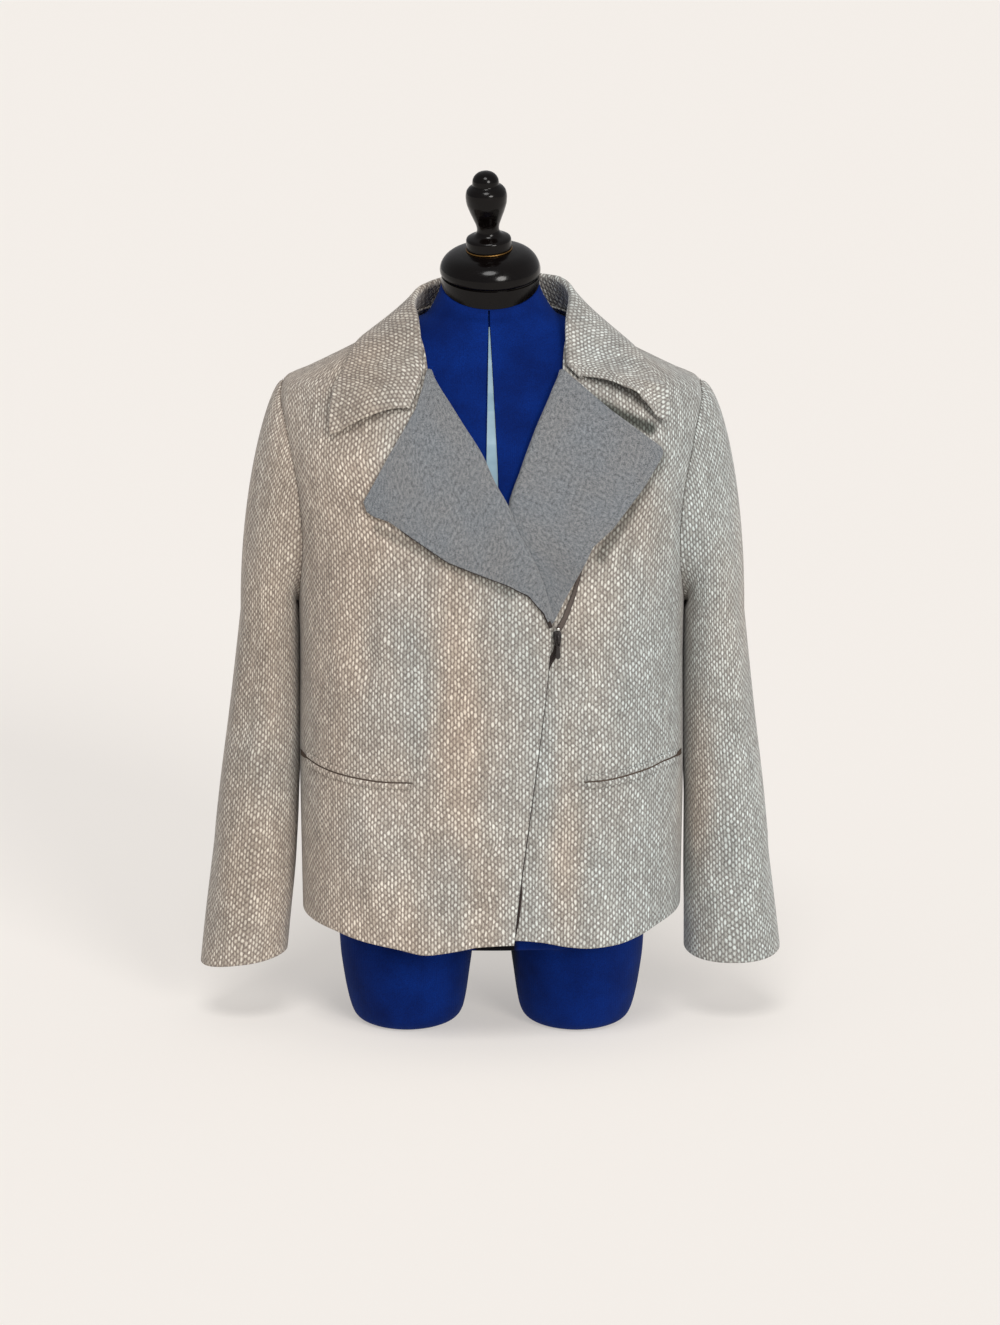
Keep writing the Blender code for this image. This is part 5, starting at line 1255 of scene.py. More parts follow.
def sleeve_mesh(name, table, cap_out, side, creases):
    """A sleeve from the armhole over its full head and down its tube."""
    turn = (np.arange(84) / 84.0 - 0.5)[None, :]
    top, bottom = table.rows[-1, 0], table.rows[0, 0]
    start = armhole_point(turn, side, TWEED + SEAM_GAP)
    end = tube_point(table, turn, np.full_like(turn, top), side)
    raised = 0.5 + 0.5 * np.cos(2.0 * math.pi * turn)[..., None]
    drop = np.linalg.norm(end - start, axis=-1, keepdims=True)
    out = np.array([side, 0.0, 0.12]) * cap_out * (0.35 + 0.65 * raised)
    out = out + np.array([0.0, 0.0, -1.0]) * drop * 0.10 * (1.0 - raised)
    over = end + np.array([0.0, 0.0, 0.55]) * drop
    steps = (np.arange(0, 34) / 34.0)[:, None, None] ** 1.15
    cap = bezier(start, start + out, over, end, steps)
    tube_z = np.concatenate((np.linspace(top, bottom + 5.0, 60), [bottom + 1.2, bottom]))[:, None]
    tube = tube_point(table, turn, tube_z, side)
    outer = np.concatenate((armhole_point(turn, side, 0.0), cap, tube))
    girth = np.broadcast_to(turn * SLEEVE_GIRTH, outer.shape[:2])
    tube_rise = np.linalg.norm(np.diff(tube, axis=0), axis=2)
    flat = np.stack([girth * side, np.zeros(outer.shape[:2])], axis=-1)
    flat[-len(tube):-1, :, 1] = np.cumsum(tube_rise[::-1], axis=0)[::-1]
    flat = unroll(outer, flat, range(len(outer) - len(tube), -1, -1), (-side, 0.0, 0.0), True)
    normals = grid_normals(outer, closed=True)
    if ((outer - outer.mean(axis=1, keepdims=True)) * normals).sum() < 0.0:
        normals = -normals
    up = outer[..., 2]
    shown = 1.0 - ease((np.abs(turn) - HIDDEN_FROM) / HIDDEN_RUN)
    shown = shown * ease((up - bottom) / CREASE_CUFF_RUN)
    depth = relief(creases, girth, up) * shown * ease((CREASE_HEAD - up) / CREASE_HEAD_RUN)
    touching = ease((up - TOUCH_FOOT) / TOUCH_RUN) * (1.0 - ease((up - TOUCH_TOP) / TOUCH_FADE))
    depth = depth + SLEEVE_TOUCH * touching * ease((np.abs(turn) - TOUCH_FROM) / HIDDEN_RUN)
    outer = outer + normals * depth[..., None]
    return cloth_mesh(name, outer, outer - normals * TWEED, flat, period=SLEEVE_GIRTH * side)


for sleeve_side, sleeve_way, sleeve_table, sleeve_out, sleeve_creases, sleeve_length in (
    ("right", -1.0, RIGHT_SLEEVE, RIGHT_CAP_OUT, RIGHT_SLEEVE_CREASES, 0.61),
    ("left", 1.0, LEFT_SLEEVE, LEFT_CAP_OUT, LEFT_SLEEVE_CREASES, 0.60),
):
    sleeve_name = "sleeve_" + sleeve_side
    add_cloth(sleeve_name + "_cloth",
              sleeve_mesh(sleeve_name + "_cloth", sleeve_table, sleeve_out, sleeve_way, sleeve_creases),
              tweed, sleeve_name)


# ------------------------------------------------------------------ jacket's collar
# The wide collar of the same tweed: a stand round the neck, a soft roll and a fall
# that lies on the shoulders, from the wearer's right front end (0) to the left (1).
COLLAR_COLUMNS = ("along", "x", "y", "z")
COLLAR_SEAM = Table(COLLAR_COLUMNS, (
    (0.00, -86.0, -90, 636), (0.04, -79.0, -75, 655), (0.08, -73.5, -63, 672),
    (0.17, -71.5, -42, 698), (0.27, -86.0, 2, 713), (0.37, -66.0, 48, 716),
    (0.50, 0.0, 74, 723), (0.63, 66.0, 48, 716), (0.73, 86.0, 2, 713),
    (0.83, 76.0, -42, 702), (0.92, 79.0, -62, 678), (0.96, 85.0, -64, 673), (1.00, 93.0, -66, 666),
))
COLLAR_ROLL = Table(COLLAR_COLUMNS, (
    (0.00, -79.5, -93, 636), (0.04, -73.0, -79, 653), (0.08, -68.0, -68, 671),
    (0.17, -70.5, -41, 707), (0.27, -74.5, 4, 729), (0.37, -60.0, 41, 741),
    (0.50, 0.0, 72, 748), (0.63, 63.0, 42, 748), (0.73, 78.5, 4, 737),
    (0.83, 74.0, -40, 712), (0.92, 74.5, -64, 680), (0.96, 80.0, -68, 673), (1.00, 87.0, -71, 666),
))
COLLAR_EDGE = Table(COLLAR_COLUMNS, (
    (0.00, -150.5, -84, 609), (0.04, -152.5, -74, 630), (0.08, -149.5, -60, 647),
    (0.17, -141.0, -36, 671), (0.27, -129.0, 8, 690), (0.37, -92.0, 72, 682),
    (0.50, 0.0, 92, 674), (0.63, 92.0, 72, 684), (0.73, 136.0, 8, 688),
    (0.83, 153.0, -36, 667), (0.92, 161.0, -56, 645), (0.96, 163.0, -66, 632),
    (1.00, 162.0, -74, 619),
))
COLLAR_FALL = Table(("along", "edge", "middle", "radius"), (
    (0.00, 9.5, 10.5, 2.0), (0.08, 7.0, 8.5, 2.0), (0.20, 4.4, 5.0, 2.2), (0.30, 4.4, 4.6, 2.8),
    (0.50, 4.4, 4.6, 3.2), (0.70, 4.4, 4.6, 2.8), (0.80, 4.4, 5.0, 2.2), (0.88, 9.0, 10.0, 2.0),
    (0.94, 14.0, 14.0, 2.0), (1.00, 12.0, 15.5, 2.0),
))
SEAM_HEIGHT, FALL_HEIGHT, OVER_STAND = 3.6, 4.4, 1.8
# Which line across the collar is the top of its roll
CREST = 9


def height_above(point):
    """About how far a point lies outside the jacket's shell."""
    return level_value(SHELL, point) / np.linalg.norm(gradient(SHELL, point), axis=-1)


def seat(point, height):
    """Points moved along the shell's normal until they lie at a height above the shell."""
    for _ in range(6):
        missing = height - height_above(point)
        point = point + outward(SHELL, point) * missing[..., None]
    return point


def collar_grid(share):
    """Points across the collar at each share of its length, from the neck seam to its edge."""
    radius = COLLAR_FALL.at(share, "radius")
    seam = seat(COLLAR_SEAM.points(share), SEAM_HEIGHT)
    crest = COLLAR_ROLL.points(share)
    low = height_above(crest) < SEAM_HEIGHT + radius
    crest = np.where(low[:, None], seat(crest, SEAM_HEIGHT + radius), crest)
    edge = seat(COLLAR_EDGE.points(share), COLLAR_FALL.at(share, "edge"))
    normal = outward(SHELL, crest)
    size = radius[:, None]
    rise_way = unit(crest - normal * size - seam)
    out_way = unit(normal - rise_way * (normal * rise_way).sum(axis=1, keepdims=True))
    centre = crest - rise_way * size
    foot = centre - out_way * size
    line = [seam + (foot - seam) * step for step in (0.0, 0.05, 0.25, 0.5, 0.75)]
    for angle in np.linspace(0.0, math.pi, 9):
        line.append(centre + (rise_way * math.sin(angle) - out_way * math.cos(angle)) * size)
    start = line[-1]
    length = np.linalg.norm(edge - start, axis=1, keepdims=True)
    fall_way = unit(edge - start)
    leave = unit(fall_way - rise_way * 0.6)
    middle = COLLAR_FALL.at(share, "middle") - FALL_HEIGHT
    for t in np.concatenate((np.linspace(0.0, 1.0, 25)[1:-1], [0.985, 1.0])):
        point = bezier(start, start + leave * length * 0.3, edge - fall_way * length * 0.3, edge, t)
        lowest = FALL_HEIGHT + OVER_STAND * (1.0 - ease(t / 0.4)) + middle * math.sin(math.pi * t)
        if t < 1.0:
            low = height_above(point) < lowest
            point = np.where(low[:, None], seat(point, lowest), point)
        line.append(point)
    return np.stack(line, axis=1)


collar_middle = collar_grid(near_edges(110, 0.003))
collar_normals = grid_normals(collar_middle)
# The collar opens out flat as a curved strip, cut straight at the centre back
collar_steps = np.linalg.norm(np.diff(collar_middle, axis=0), axis=2)
collar_across = np.linalg.norm(np.diff(collar_middle, axis=1), axis=2)
collar_across = np.concatenate((np.zeros((len(collar_middle), 1)),
                                np.cumsum(collar_across, axis=1)), axis=1)
collar_drop = collar_across - collar_across[:, CREST:CREST + 1]
collar_fan = (collar_steps[:, -1] - collar_steps[:, CREST]) / collar_drop[1:, -1]
collar_turn = np.concatenate(([0.0], np.cumsum(collar_fan)))
collar_turn = collar_turn - collar_turn[len(collar_turn) // 2]
collar_tangent = np.stack([np.cos(collar_turn), np.sin(collar_turn)], axis=-1)
collar_run = np.cumsum(collar_steps[:, CREST, None] * collar_tangent[1:], axis=0)
collar_run = np.concatenate(([[0.0, 0.0]], collar_run))[:, None]
collar_flat = collar_run + collar_drop[..., None] * (collar_tangent[:, ::-1] * [1.0, -1.0])[:, None]
collar_mesh = cloth_mesh("collar_cloth", collar_middle + collar_normals * TWEED * 0.5,
                         collar_middle - collar_normals * TWEED * 0.5, collar_flat)
add_cloth("collar_cloth", collar_mesh, tweed, "collar")


# ---------------------------------------------------------------- pocket jettings
# Two slanted welt pockets in the fronts, each with a narrow folded strip of tweed above
# its slit and one below it.
RIGHT_POCKET = Table(("x", "z"), (
    (-180, 283), (-168, 280), (-152, 277.5), (-128, 275.5), (-104, 274.5), (-79, 275),
))
LEFT_POCKET = Table(("x", "z"), (
    (94, 275), (118, 276.5), (139, 279.5), (157, 282.5), (168, 285), (180, 285),
))
JET_WIDTH, JET_THICKNESS, JET_OPENING, JET_ROUND = 5.6, 1.2, 1.8, 1.0


def jet_mesh(name, front, line, side):
    """One folded strip, round across, on the upper (1) or lower (-1) side of the slit."""
    first, last = line.rows[0, 0], line.rows[-1, 0]
    x = (first + (last - first) * near_edges(70, 0.008))[:, None]
    share = near_edges(9, 0.04)[None, :]
    z = line.at(x, "z") + side * (JET_OPENING * 0.5 + JET_WIDTH * share)
    rounded = JET_ROUND * np.sqrt(np.clip(4.0 * share * (1.0 - share), 0.0, 1.0))
    low = TWEED + LAYER_GAP
    face_side = front.place(x, z, low + JET_THICKNESS * 0.6 + rounded)
    back_side = front.place(x, z, low + 0.0 * rounded)
    return cloth_mesh(name, face_side, back_side, weave_place(face_side) + [1.5, 2.0])


for pocket_side, pocket_front, pocket_line, jet_length in (
    ("right", right_front, RIGHT_POCKET, 0.134),
    ("left", left_front, LEFT_POCKET, 0.118),
):
    for jet_place, jet_side in (("_upper", 1.0), ("_lower", -1.0)):
        jet_name = "pocket_jet_" + pocket_side + jet_place
        add_cloth(jet_name + "_cloth",
                  jet_mesh(jet_name + "_cloth", pocket_front, pocket_line, jet_side),
                  tweed, jet_name)


# ---------------------------------------------------------------------- front zip
# The slanting front zip: fine dark teeth on narrow woven tape. Its rows part above the
# slider, along the two lapels, and run joined below it under the right front's edge.
TAPE_THICKNESS = 0.5
TOOTH = (0.8, 2.0, 1.0)
TOOTH_SPACING = 1.5
SLIDER_X, SLIDER_Z, SLIDER_TURN, SLIDER_LIFT = 64.5, 421.0, 10.0, 0.7
SLIDER_THICKNESS = 5.6
HINGE_OUT, HINGE_UP = 6.8, -2.2
PULL_HALF_THICKNESS, PULL_WINDOW = 0.55, 1.15
LEFT_ZIP = ((66.5, 429.5), (72.5, 441), (81, 464), (91.5, 501))
CLOSED_TOP, CLOSED_FOOT, CLOSED_UNDER = 413.0, 122.0, 0.7
GAPE, GAPE_TOP, GAPE_FOOT = 1.6, 176.0, 124.0


def repeat_along(name, path, outs, size, spacing, uneven, material):
    """Small rounded pieces set evenly along a path, X along it and Z outwards."""
    line = bpy.data.meshes.new(name)
    line.from_pydata((path * MM).tolist(), [(i, i + 1) for i in range(len(path) - 1)], [])
    line.attributes.new("out", "FLOAT_VECTOR", "POINT").data.foreach_set("vector", outs.ravel())
    row = add_object(name, line, material)
    tree = bpy.data.node_groups.new("repeat_along", "GeometryNodeTree")
    keys = {}
    for label, kind in (("Path", "Geometry"), ("Size", "Vector"), ("Spacing", "Float"),
                        ("Uneven", "Float"), ("Seed", "Int"), ("Material", "Material")):
        socket = tree.interface.new_socket(label, in_out="INPUT", socket_type="NodeSocket" + kind)
        keys[label] = socket.identifier
    tree.interface.new_socket("Geometry", in_out="OUTPUT", socket_type="NodeSocketGeometry")
    given = add_node(tree, "NodeGroupInput").outputs
    curve = add_node(tree, "GeometryNodeMeshToCurve", {"Mesh": given["Path"]}).outputs[0]
    points = add_node(tree, "GeometryNodeCurveToPoints",
                      {"Curve": curve, "Length": given["Spacing"]}, mode="LENGTH")
    block = add_node(tree, "GeometryNodeMeshCube", {"Size": given["Size"]}).outputs[0]
    item = add_node(tree, "GeometryNodeSubdivisionSurface", {"Mesh": block, "Level": 1}).outputs[0]
    out = add_node(tree, "GeometryNodeInputNamedAttribute", {"Name": "out"},
                   data_type="FLOAT_VECTOR").outputs["Attribute"]
    stand = add_node(tree, "FunctionNodeAlignRotationToVector", {"Vector": out}, axis="Z")
    turned = add_node(tree, "FunctionNodeAlignRotationToVector",
                      {"Rotation": stand.outputs[0], "Vector": points.outputs["Tangent"]},
                      axis="X", pivot_axis="Z").outputs[0]
    small = add_node(tree, "ShaderNodeMath", {0: 1.0, 1: given["Uneven"]}, operation="SUBTRACT")
    scale = add_node(tree, "FunctionNodeRandomValue",
                     {0: small.outputs[0], "Seed": given["Seed"]}, data_type="FLOAT_VECTOR")
    placed = add_node(tree, "GeometryNodeInstanceOnPoints", {
        "Points": points.outputs["Points"], "Instance": item, "Rotation": turned,
        "Scale": scale.outputs[0]}).outputs[0]
    real = add_node(tree, "GeometryNodeRealizeInstances", {"Geometry": placed}).outputs[0]
    painted = add_node(tree, "GeometryNodeSetMaterial",
                       {"Geometry": real, "Material": given["Material"]}).outputs[0]
    add_node(tree, "NodeGroupOutput", {"Geometry": painted})
    modifier = row.modifiers.new("repeat_along", "NODES")
    modifier.node_group = tree
    modifier[keys["Size"]] = [value * MM for value in size]
    modifier[keys["Spacing"]] = spacing * MM
    modifier[keys["Uneven"]] = uneven
    modifier[keys["Seed"]] = 5
    modifier[keys["Material"]] = material
    bake(row).data.shade_smooth()
    return row


def ribbon_mesh(name, path, outs, width):
    """A narrow flat band along a path, with its width at each point."""
    across = unit(np.cross(outs, unit(np.gradient(path, axis=0))))
    share = near_edges(5, 0.08)[None, :] - 0.5
    place = share * np.asarray(width)[:, None]
    middle = path[:, None] + across[:, None] * place[..., None]
    over = outs[:, None] * TAPE_THICKNESS * 0.5
    run = np.concatenate(([0.0], np.cumsum(np.linalg.norm(np.diff(path, axis=0), axis=1))))
    return cloth_mesh(name, middle + over, middle - over,
                      np.stack([run[:, None] + 0.0 * place, place], axis=-1))


def front_line(front, places, height):
    """Points at places across and up on a front, at a height above the shell, and outwards."""
    path = front.place(places[:, 0], places[:, 1], height)
    return path, outward(SHELL, path)


def beside(places, shift):
    """Places moved sideways from their line, to the left of the way that it runs."""
    along = unit(np.gradient(places, axis=0))
    return places + np.stack([-along[:, 1], along[:, 0]], axis=-1) * np.reshape(shift, (-1, 1))


tape, tape_tree, tape_shader = start_material(
    "zip_tape", Roughness=0.9, Specular_IOR_Level=0.15, Sheen_Weight=0.15)
# Dark brown woven tape with fine ribs across it.
tape_ribs = add_node(tape_tree, "ShaderNodeTexWave",
                     {"Vector": weave_map(tape_tree), "Scale": 320.0, "Distortion": 0.6},
                     bands_direction="X").outputs[1]
finish_material(tape_tree, tape_shader, (tape_ribs, 0.5, 0.0003),
                Base_Color=blend(tape_tree, tape_ribs, "#221c1b", "#3d3431"))

tape_painted_lit = tape.copy()
tape_painted_lit.name = "zip_tape_painted_lit"
# Painted light: the same tape painted paler, brown-grey, where it lies in the light.
lit_tape_mix = next(node for node in tape_painted_lit.node_tree.nodes if node.bl_idname == "ShaderNodeMix")
lit_tape_mix.inputs[6].default_value = linear("#3c3533")
lit_tape_mix.inputs[7].default_value = linear("#6b615b")

gunmetal, gunmetal_tree, gunmetal_shader = start_material(
    "blackened_zip_metal", Metallic=0.35, Specular_IOR_Level=0.4)
# Near-black plated metal with a satin gleam, rubbed paler and brighter in small patches.
gunmetal_wear = noise(gunmetal_tree, object_place(gunmetal_tree), 420.0, 4.0)
finish_material(gunmetal_tree, gunmetal_shader,
                Base_Color=blend(gunmetal_tree, gunmetal_wear, "#0d0b0b", "#3a3534"),
                Roughness=spread(gunmetal_tree, gunmetal_wear, 0.0, 1.0, 0.48, 0.22))

nickel, nickel_tree, nickel_shader = start_material(
    "bright_nickel", Metallic=1.0, Roughness=0.28)
# The top stop's silvery plating, with a little haze.
nickel_haze = noise(nickel_tree, object_place(nickel_tree), 600.0)
finish_material(nickel_tree, nickel_shader,
                Base_Color=blend(nickel_tree, nickel_haze, "#8f8f8c", "#dcdad5"))

# The right row, sewn in under the lapel's edge with its teeth just past it
right_share = np.linspace(0.02, 0.80, 90)
right_edge = along_path(RIGHT_LAPEL_EDGE, right_share)
lapel_top_height = TWEED * 2.0 + LAPEL_SPACE * 0.5 + 0.2
right_path, right_outs = front_line(right_front, beside(right_edge, -0.6), lapel_top_height)
add_cloth("zip_tape_right", ribbon_mesh("zip_tape_right", right_path, right_outs,
                                        np.full(90, 3.6)),
          tape, "zip_chain_right")
right_path, right_outs = front_line(right_front, beside(right_edge, 0.3), lapel_top_height + 0.1)
right_teeth = repeat_along("zip_teeth_right", right_path, right_outs, TOOTH, TOOTH_SPACING, 0.1,
                           gunmetal)
stand_for(right_teeth, None)

# The left row, its tape narrowing to a point at the top beside the lapel
left_line = along_path(LEFT_ZIP, np.linspace(0.0, 1.0, 60))
left_width = 5.4 - 3.6 * np.linspace(0.0, 1.0, 60) ** 1.6
left_low = TWEED + 0.5
left_path, left_outs = front_line(left_front, left_line, left_low)
add_cloth("zip_tape_left", ribbon_mesh("zip_tape_left", left_path, left_outs, left_width),
          tape_painted_lit, "zip_chain_left")
for edge_name, edge_side, edge_size in (("inner", 0.5, TOOTH), ("outer", -0.5, (1.3, 0.9, 0.7))):
    edge_path, edge_outs = front_line(
        left_front, beside(left_line, edge_side * (left_width - 0.6)), left_low + 0.3)
    edge_row = repeat_along("zip_edge_left_" + edge_name, edge_path, edge_outs, edge_size,
                            TOOTH_SPACING, 0.1, gunmetal)
    stand_for(edge_row, None)

# The joined rows below the slider: the front's edge hides all but a thin border, and
# stands a little open near the hem
closed_z = np.linspace(CLOSED_TOP, CLOSED_FOOT, 150)
closed_open = GAPE * ease((GAPE_TOP - closed_z) / 14.0) * ease((closed_z - GAPE_FOOT) / 14.0)
closed_x = RIGHT_INNER.at(closed_z, "x") - CLOSED_UNDER + closed_open
closed_x = closed_x + (SLIDER_X - closed_x) * (1.0 - ease((CLOSED_TOP - closed_z) / 26.0))
closed_path, closed_outs = front_line(
    left_front, np.stack([closed_x, closed_z], axis=-1), TWEED + 0.9)
add_cloth("zip_tape_closed", ribbon_mesh("zip_tape_closed", closed_path, closed_outs,
                                         np.full(150, 5.4)),
          tape, "zip_chain_closed")
closed_teeth = repeat_along("zip_teeth_closed", closed_path + closed_outs * 0.4, closed_outs,
                            (0.8, 4.0, 1.0), TOOTH_SPACING, 0.08, gunmetal)
stand_for(closed_teeth, None)

slider_base = ring_point(SHELL, shell_angle(SHELL, np.array(SLIDER_X), np.array(SLIDER_Z)),
                         np.array(SLIDER_Z))
slider_base = slider_base + outward(SHELL, slider_base) * (
    left_height(SLIDER_X, SLIDER_Z) + TWEED + SLIDER_LIFT)
slider_turn = math.radians(SLIDER_TURN)
SLIDER_AXES = np.array([[math.cos(slider_turn), math.sin(slider_turn), 0.0],
                        [math.sin(slider_turn), -math.cos(slider_turn), 0.0], [0.0, 0.0, 1.0]])


def add_plate(bm, outline, low, high, rounding, way=1):
    """An outline made solid and rounded; way is the axis it is thick along: across, out, up."""
    rings = [[bm.verts.new(np.insert(point, way, level)) for point in outline]
             for level in (low, high)]
    count = len(outline)
    faces = [bm.faces.new(rings[0][::-1]), bm.faces.new(rings[1])]
    for i in range(count):
        after = (i + 1) % count
        faces.append(bm.faces.new((rings[0][i], rings[0][after], rings[1][after], rings[1][i])))
    edges = list(dict.fromkeys(edge for face in faces for edge in face.edges))
    bmesh.ops.bevel(bm, geom=edges, offset=rounding, segments=2, affect="EDGES", profile=0.6)


def slider_mesh(name, bm, base):
    """A mesh from points in the slider's own axes about a base; they mirror it."""
    for vert in bm.verts:
        vert.co = Vector((base + np.array(vert.co) @ SLIDER_AXES) * MM)
    bm.normal_update()
    bmesh.ops.recalc_face_normals(bm, faces=bm.faces)
    mesh = bpy.data.meshes.new(name)
    bm.to_mesh(mesh)
    bm.free()
    mesh.shade_smooth()
    mesh.set_sharp_from_angle(angle=math.radians(40.0))
    return mesh


# Slider: two shields, rails at their sides, a post between them and a bridge over the front
shield = ((-2.3, -7.0), (2.3, -7.0), (2.7, -3.0), (3.4, 1.0), (3.7, 4.6), (3.1, 6.8), (1.0, 7.0),
          (-1.0, 7.0), (-3.1, 6.8), (-3.7, 4.6), (-3.4, 1.0), (-2.7, -3.0))
slider_bm = bmesh.new()
add_plate(slider_bm, shield, 0.0, 1.5, 0.45)
add_plate(slider_bm, shield, SLIDER_THICKNESS - 1.6, SLIDER_THICKNESS, 0.55)
for flank in (-1.0, 1.0):
    rail = [(flank * x, z) for x, z in ((1.7, -6.8), (2.4, -6.8), (3.3, 0.6), (2.6, 0.6))]
    add_plate(slider_bm, rail, 1.0, SLIDER_THICKNESS - 1.0, 0.25)
add_plate(slider_bm, ((-1.1, 2.6), (1.1, 2.6), (1.3, 6.6), (-1.3, 6.6)), 1.0,
          SLIDER_THICKNESS - 1.0, 0.3)
add_plate(slider_bm, ((5.0, -4.5), (7.6, -4.5), (9.0, -3.4), (9.0, 3.0), (7.8, 4.5), (5.0, 4.5),
                      (5.0, 3.3), (7.4, 3.3), (7.9, 2.4), (7.9, -2.8), (7.1, -3.3), (5.0, -3.3)),
          -0.85, 0.85, 0.25, way=0)
slider = add_object("zip_slider_metal", slider_mesh("zip_slider_metal", slider_bm, slider_base),
                    gunmetal)
stand_for(slider, "zip_slider")

stop_bm = bmesh.new()
add_plate(stop_bm, ((-1.5, -1.3), (1.5, -1.3), (1.3, 1.3), (-1.3, 1.3)), 2.2, 4.6, 0.5)
stop = add_object("zip_top_stop", slider_mesh(
    "zip_top_stop", stop_bm, slider_base + np.array([0.6, 0.0, 9.0]) @ SLIDER_AXES), nickel)
stand_for(stop, None)

# The pull tab: a narrow plate with a window at its top, hung from the slider's bridge
pull_rows = ((0.6, 1.7), (-0.7, 2.0), (-4.6, 2.0), (-6.0, 1.5), (-7.6, 1.7), (-12.0, 2.1),
             (-16.0, 2.1), (-17.4, 1.3))
pull_bm = bmesh.new()
pull_grid = []
for up, half in pull_rows:
    window = min(PULL_WINDOW, half * 0.6)
    pull_grid.append([pull_bm.verts.new((x, -PULL_HALF_THICKNESS, up))
                      for x in (-half, -window, window, half)])
for i, (upper, lower) in enumerate(zip(pull_grid, pull_grid[1:])):
    for j in range(3):
        if (i, j) != (1, 1):
            pull_bm.faces.new((upper[j], upper[j + 1], lower[j + 1], lower[j]))
lifted = bmesh.ops.extrude_face_region(pull_bm, geom=pull_bm.faces[:])["geom"]
bmesh.ops.translate(pull_bm, vec=(0.0, 2.0 * PULL_HALF_THICKNESS, 0.0),
                    verts=[item for item in lifted if isinstance(item, bmesh.types.BMVert)])
bmesh.ops.recalc_face_normals(pull_bm, faces=pull_bm.faces)
pull_rims = [edge for edge in pull_bm.edges if edge.calc_face_angle(0.0) > 0.6]
bmesh.ops.bevel(pull_bm, geom=pull_rims, offset=0.3, segments=3, affect="EDGES", profile=0.6)
pull_base = slider_base + np.array([0.0, HINGE_OUT, HINGE_UP]) @ SLIDER_AXES
pull = add_object("zip_pull_metal", slider_mesh("zip_pull_metal", pull_bm, pull_base), gunmetal)
stand_for(pull, "zip_pull", "pull_tab")


# ------------------------------------------------------- painted shade in slits and seams, and sewing
# Painted shade in the pockets' slits: a dark strip, wider at the outer ends where they gape.
# Thread: a faint row inside the lapels' edges and a tack at the foot of the front.
SLIT_SHADE_HEIGHT = 0.9
MOUTH_WIDTH, MOUTH_GAPE, MOUTH_PINCH = 1.3, 4.4, 0.7
STITCH, STITCH_SPACING = (2.5, 0.8, 0.6), 3.0
STITCH_TOP, STITCH_FOOT, STITCH_IN = GORGE - 12.0, 458.0, 7.0

painted_shade_cloth, painted_shade_tree, painted_shade_shader = start_material(
    "shade_in_slits_and_seams", Roughness=0.95, Specular_IOR_Level=0.1)
# Painted shade: brown-black, as shaded cloth far down in a slit or seam, a little uneven.
painted_shade_haze = noise(painted_shade_tree, weave_map(painted_shade_tree), 300.0)
finish_material(painted_shade_tree, painted_shade_shader,
                Base_Color=blend(painted_shade_tree, painted_shade_haze, "#362e2a", "#62564d"))

# Painted shade: one dark strip in each pocket's slit
for mouth_side, mouth_front, mouth_line, mouth_outer, mouth_inner, mouth_area in (
    ("right", right_front, RIGHT_POCKET, -187.0, -77.0, 0.00039),
    ("left", left_front, LEFT_POCKET, 186.0, 91.0, 0.00034),
):
    mouth_share = np.linspace(0.0, 1.0, 60)
    mouth_at = mouth_outer + (mouth_inner - mouth_outer) * mouth_share
    mouth_width = MOUTH_WIDTH + MOUTH_GAPE * (1.0 - ease(mouth_share / 0.09))
    mouth_width = mouth_width - MOUTH_PINCH * ease((mouth_share - 0.7) / 0.3)
    mouth_places = np.stack([mouth_at, mouth_line.at(mouth_at, "z")], axis=-1)
    mouth_path, mouth_outs = front_line(mouth_front, mouth_places, TWEED + SLIT_SHADE_HEIGHT)
    mouth_name = "pocket_slit_shade_" + mouth_side
    mouth = add_object(mouth_name, ribbon_mesh(mouth_name, mouth_path, mouth_outs, mouth_width),
                       painted_shade_cloth)
    stand_for(mouth, None)

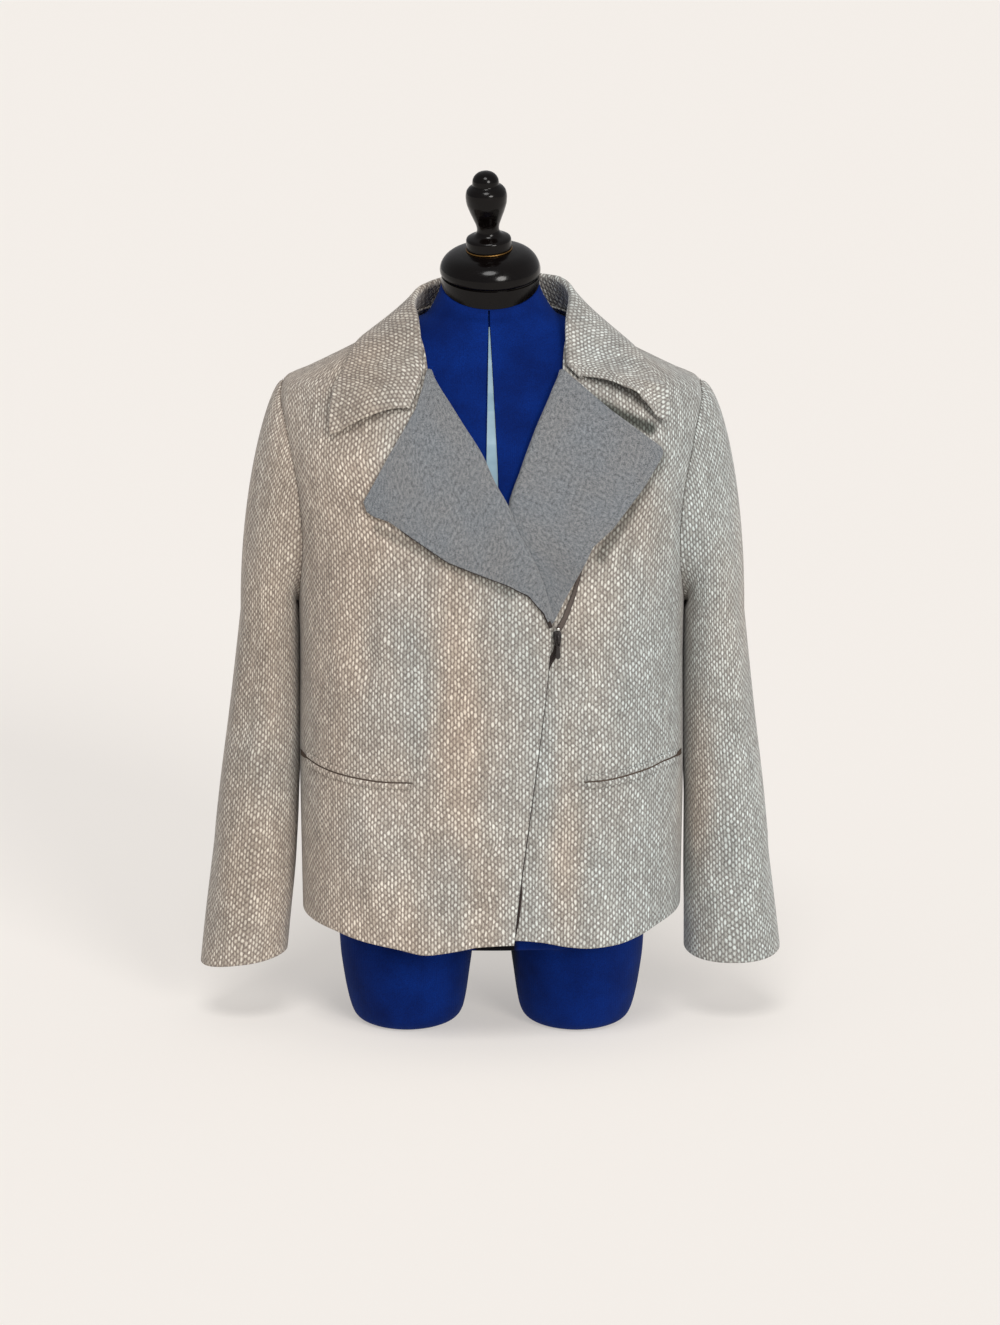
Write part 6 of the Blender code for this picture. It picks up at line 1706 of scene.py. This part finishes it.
thread, thread_tree, thread_shader = start_material(
    "grey_polyester_thread", Roughness=0.6, Specular_IOR_Level=0.3)
# Twisted thread, a shade darker than the flannel that it is sewn through.
thread_twist = noise(thread_tree, object_place(thread_tree), 900.0)
finish_material(thread_tree, thread_shader,
                Base_Color=blend(thread_tree, thread_twist, "#2b2e30", "#54585a"))

# Topstitching up the lapel's outer edge and in along its top
for row_side, row_front in (("right", right_front), ("left", left_front)):
    rise = np.linspace(STITCH_FOOT, STITCH_TOP, 90)
    span = row_front.lapel_place(rise, 1.0) - row_front.lapel_place(rise, 0.0)
    up_share = 1.0 - STITCH_IN / np.linalg.norm(span, axis=1)
    in_share = np.linspace(up_share[-1], 0.08, 40)[1:]
    row_z = np.concatenate((rise, np.full(len(in_share), STITCH_TOP)))
    row_path = row_front.lapel_point(row_z, np.concatenate((up_share, in_share)),
                                     FACING_SHIFT + FLANNEL * 0.5 - 0.05)
    stitches = repeat_along("lapel_stitches_" + row_side, row_path, outward(SHELL, row_path),
                            STITCH, STITCH_SPACING, 0.15, thread)
    stand_for(stitches, None)

# Painted shade along the armhole seams: a row of dark marks low in the valley, wider on the left front
# than on the right
for seam_name, seam_side, seam_shade_width in (("right", -1.0, 0.45), ("left", 1.0, 1.3)):
    seam_turn = np.linspace(-0.44, 0.44, 120)
    seam_path = armhole_point(seam_turn, seam_side, TWEED + 0.2)
    seam_path = seam_path + unit(seam_path - seam_path.mean(axis=0)) * 1.2
    seam = repeat_along("armhole_seam_shade_" + seam_name, seam_path, outward(SHELL, seam_path),
                        (3.4, seam_shade_width, 0.4), 3.1, 0.1, painted_shade_cloth)
    stand_for(seam, None)

# The tack at the foot of the front runs slantwise in from the edge
tack_z = np.linspace(129.0, 135.0, 4)
tack_places = np.stack([RIGHT_INNER.at(tack_z, "x") + np.array([-1.5, 0.5, 1.8, 3.0]), tack_z],
                       axis=-1)
tack_path, tack_outs = front_line(right_front, tack_places, TWEED + 0.2)
tack = repeat_along("front_tack", tack_path, tack_outs, (2.6, 0.6, 0.6), 2.0, 0.3, thread)
stand_for(tack, None)
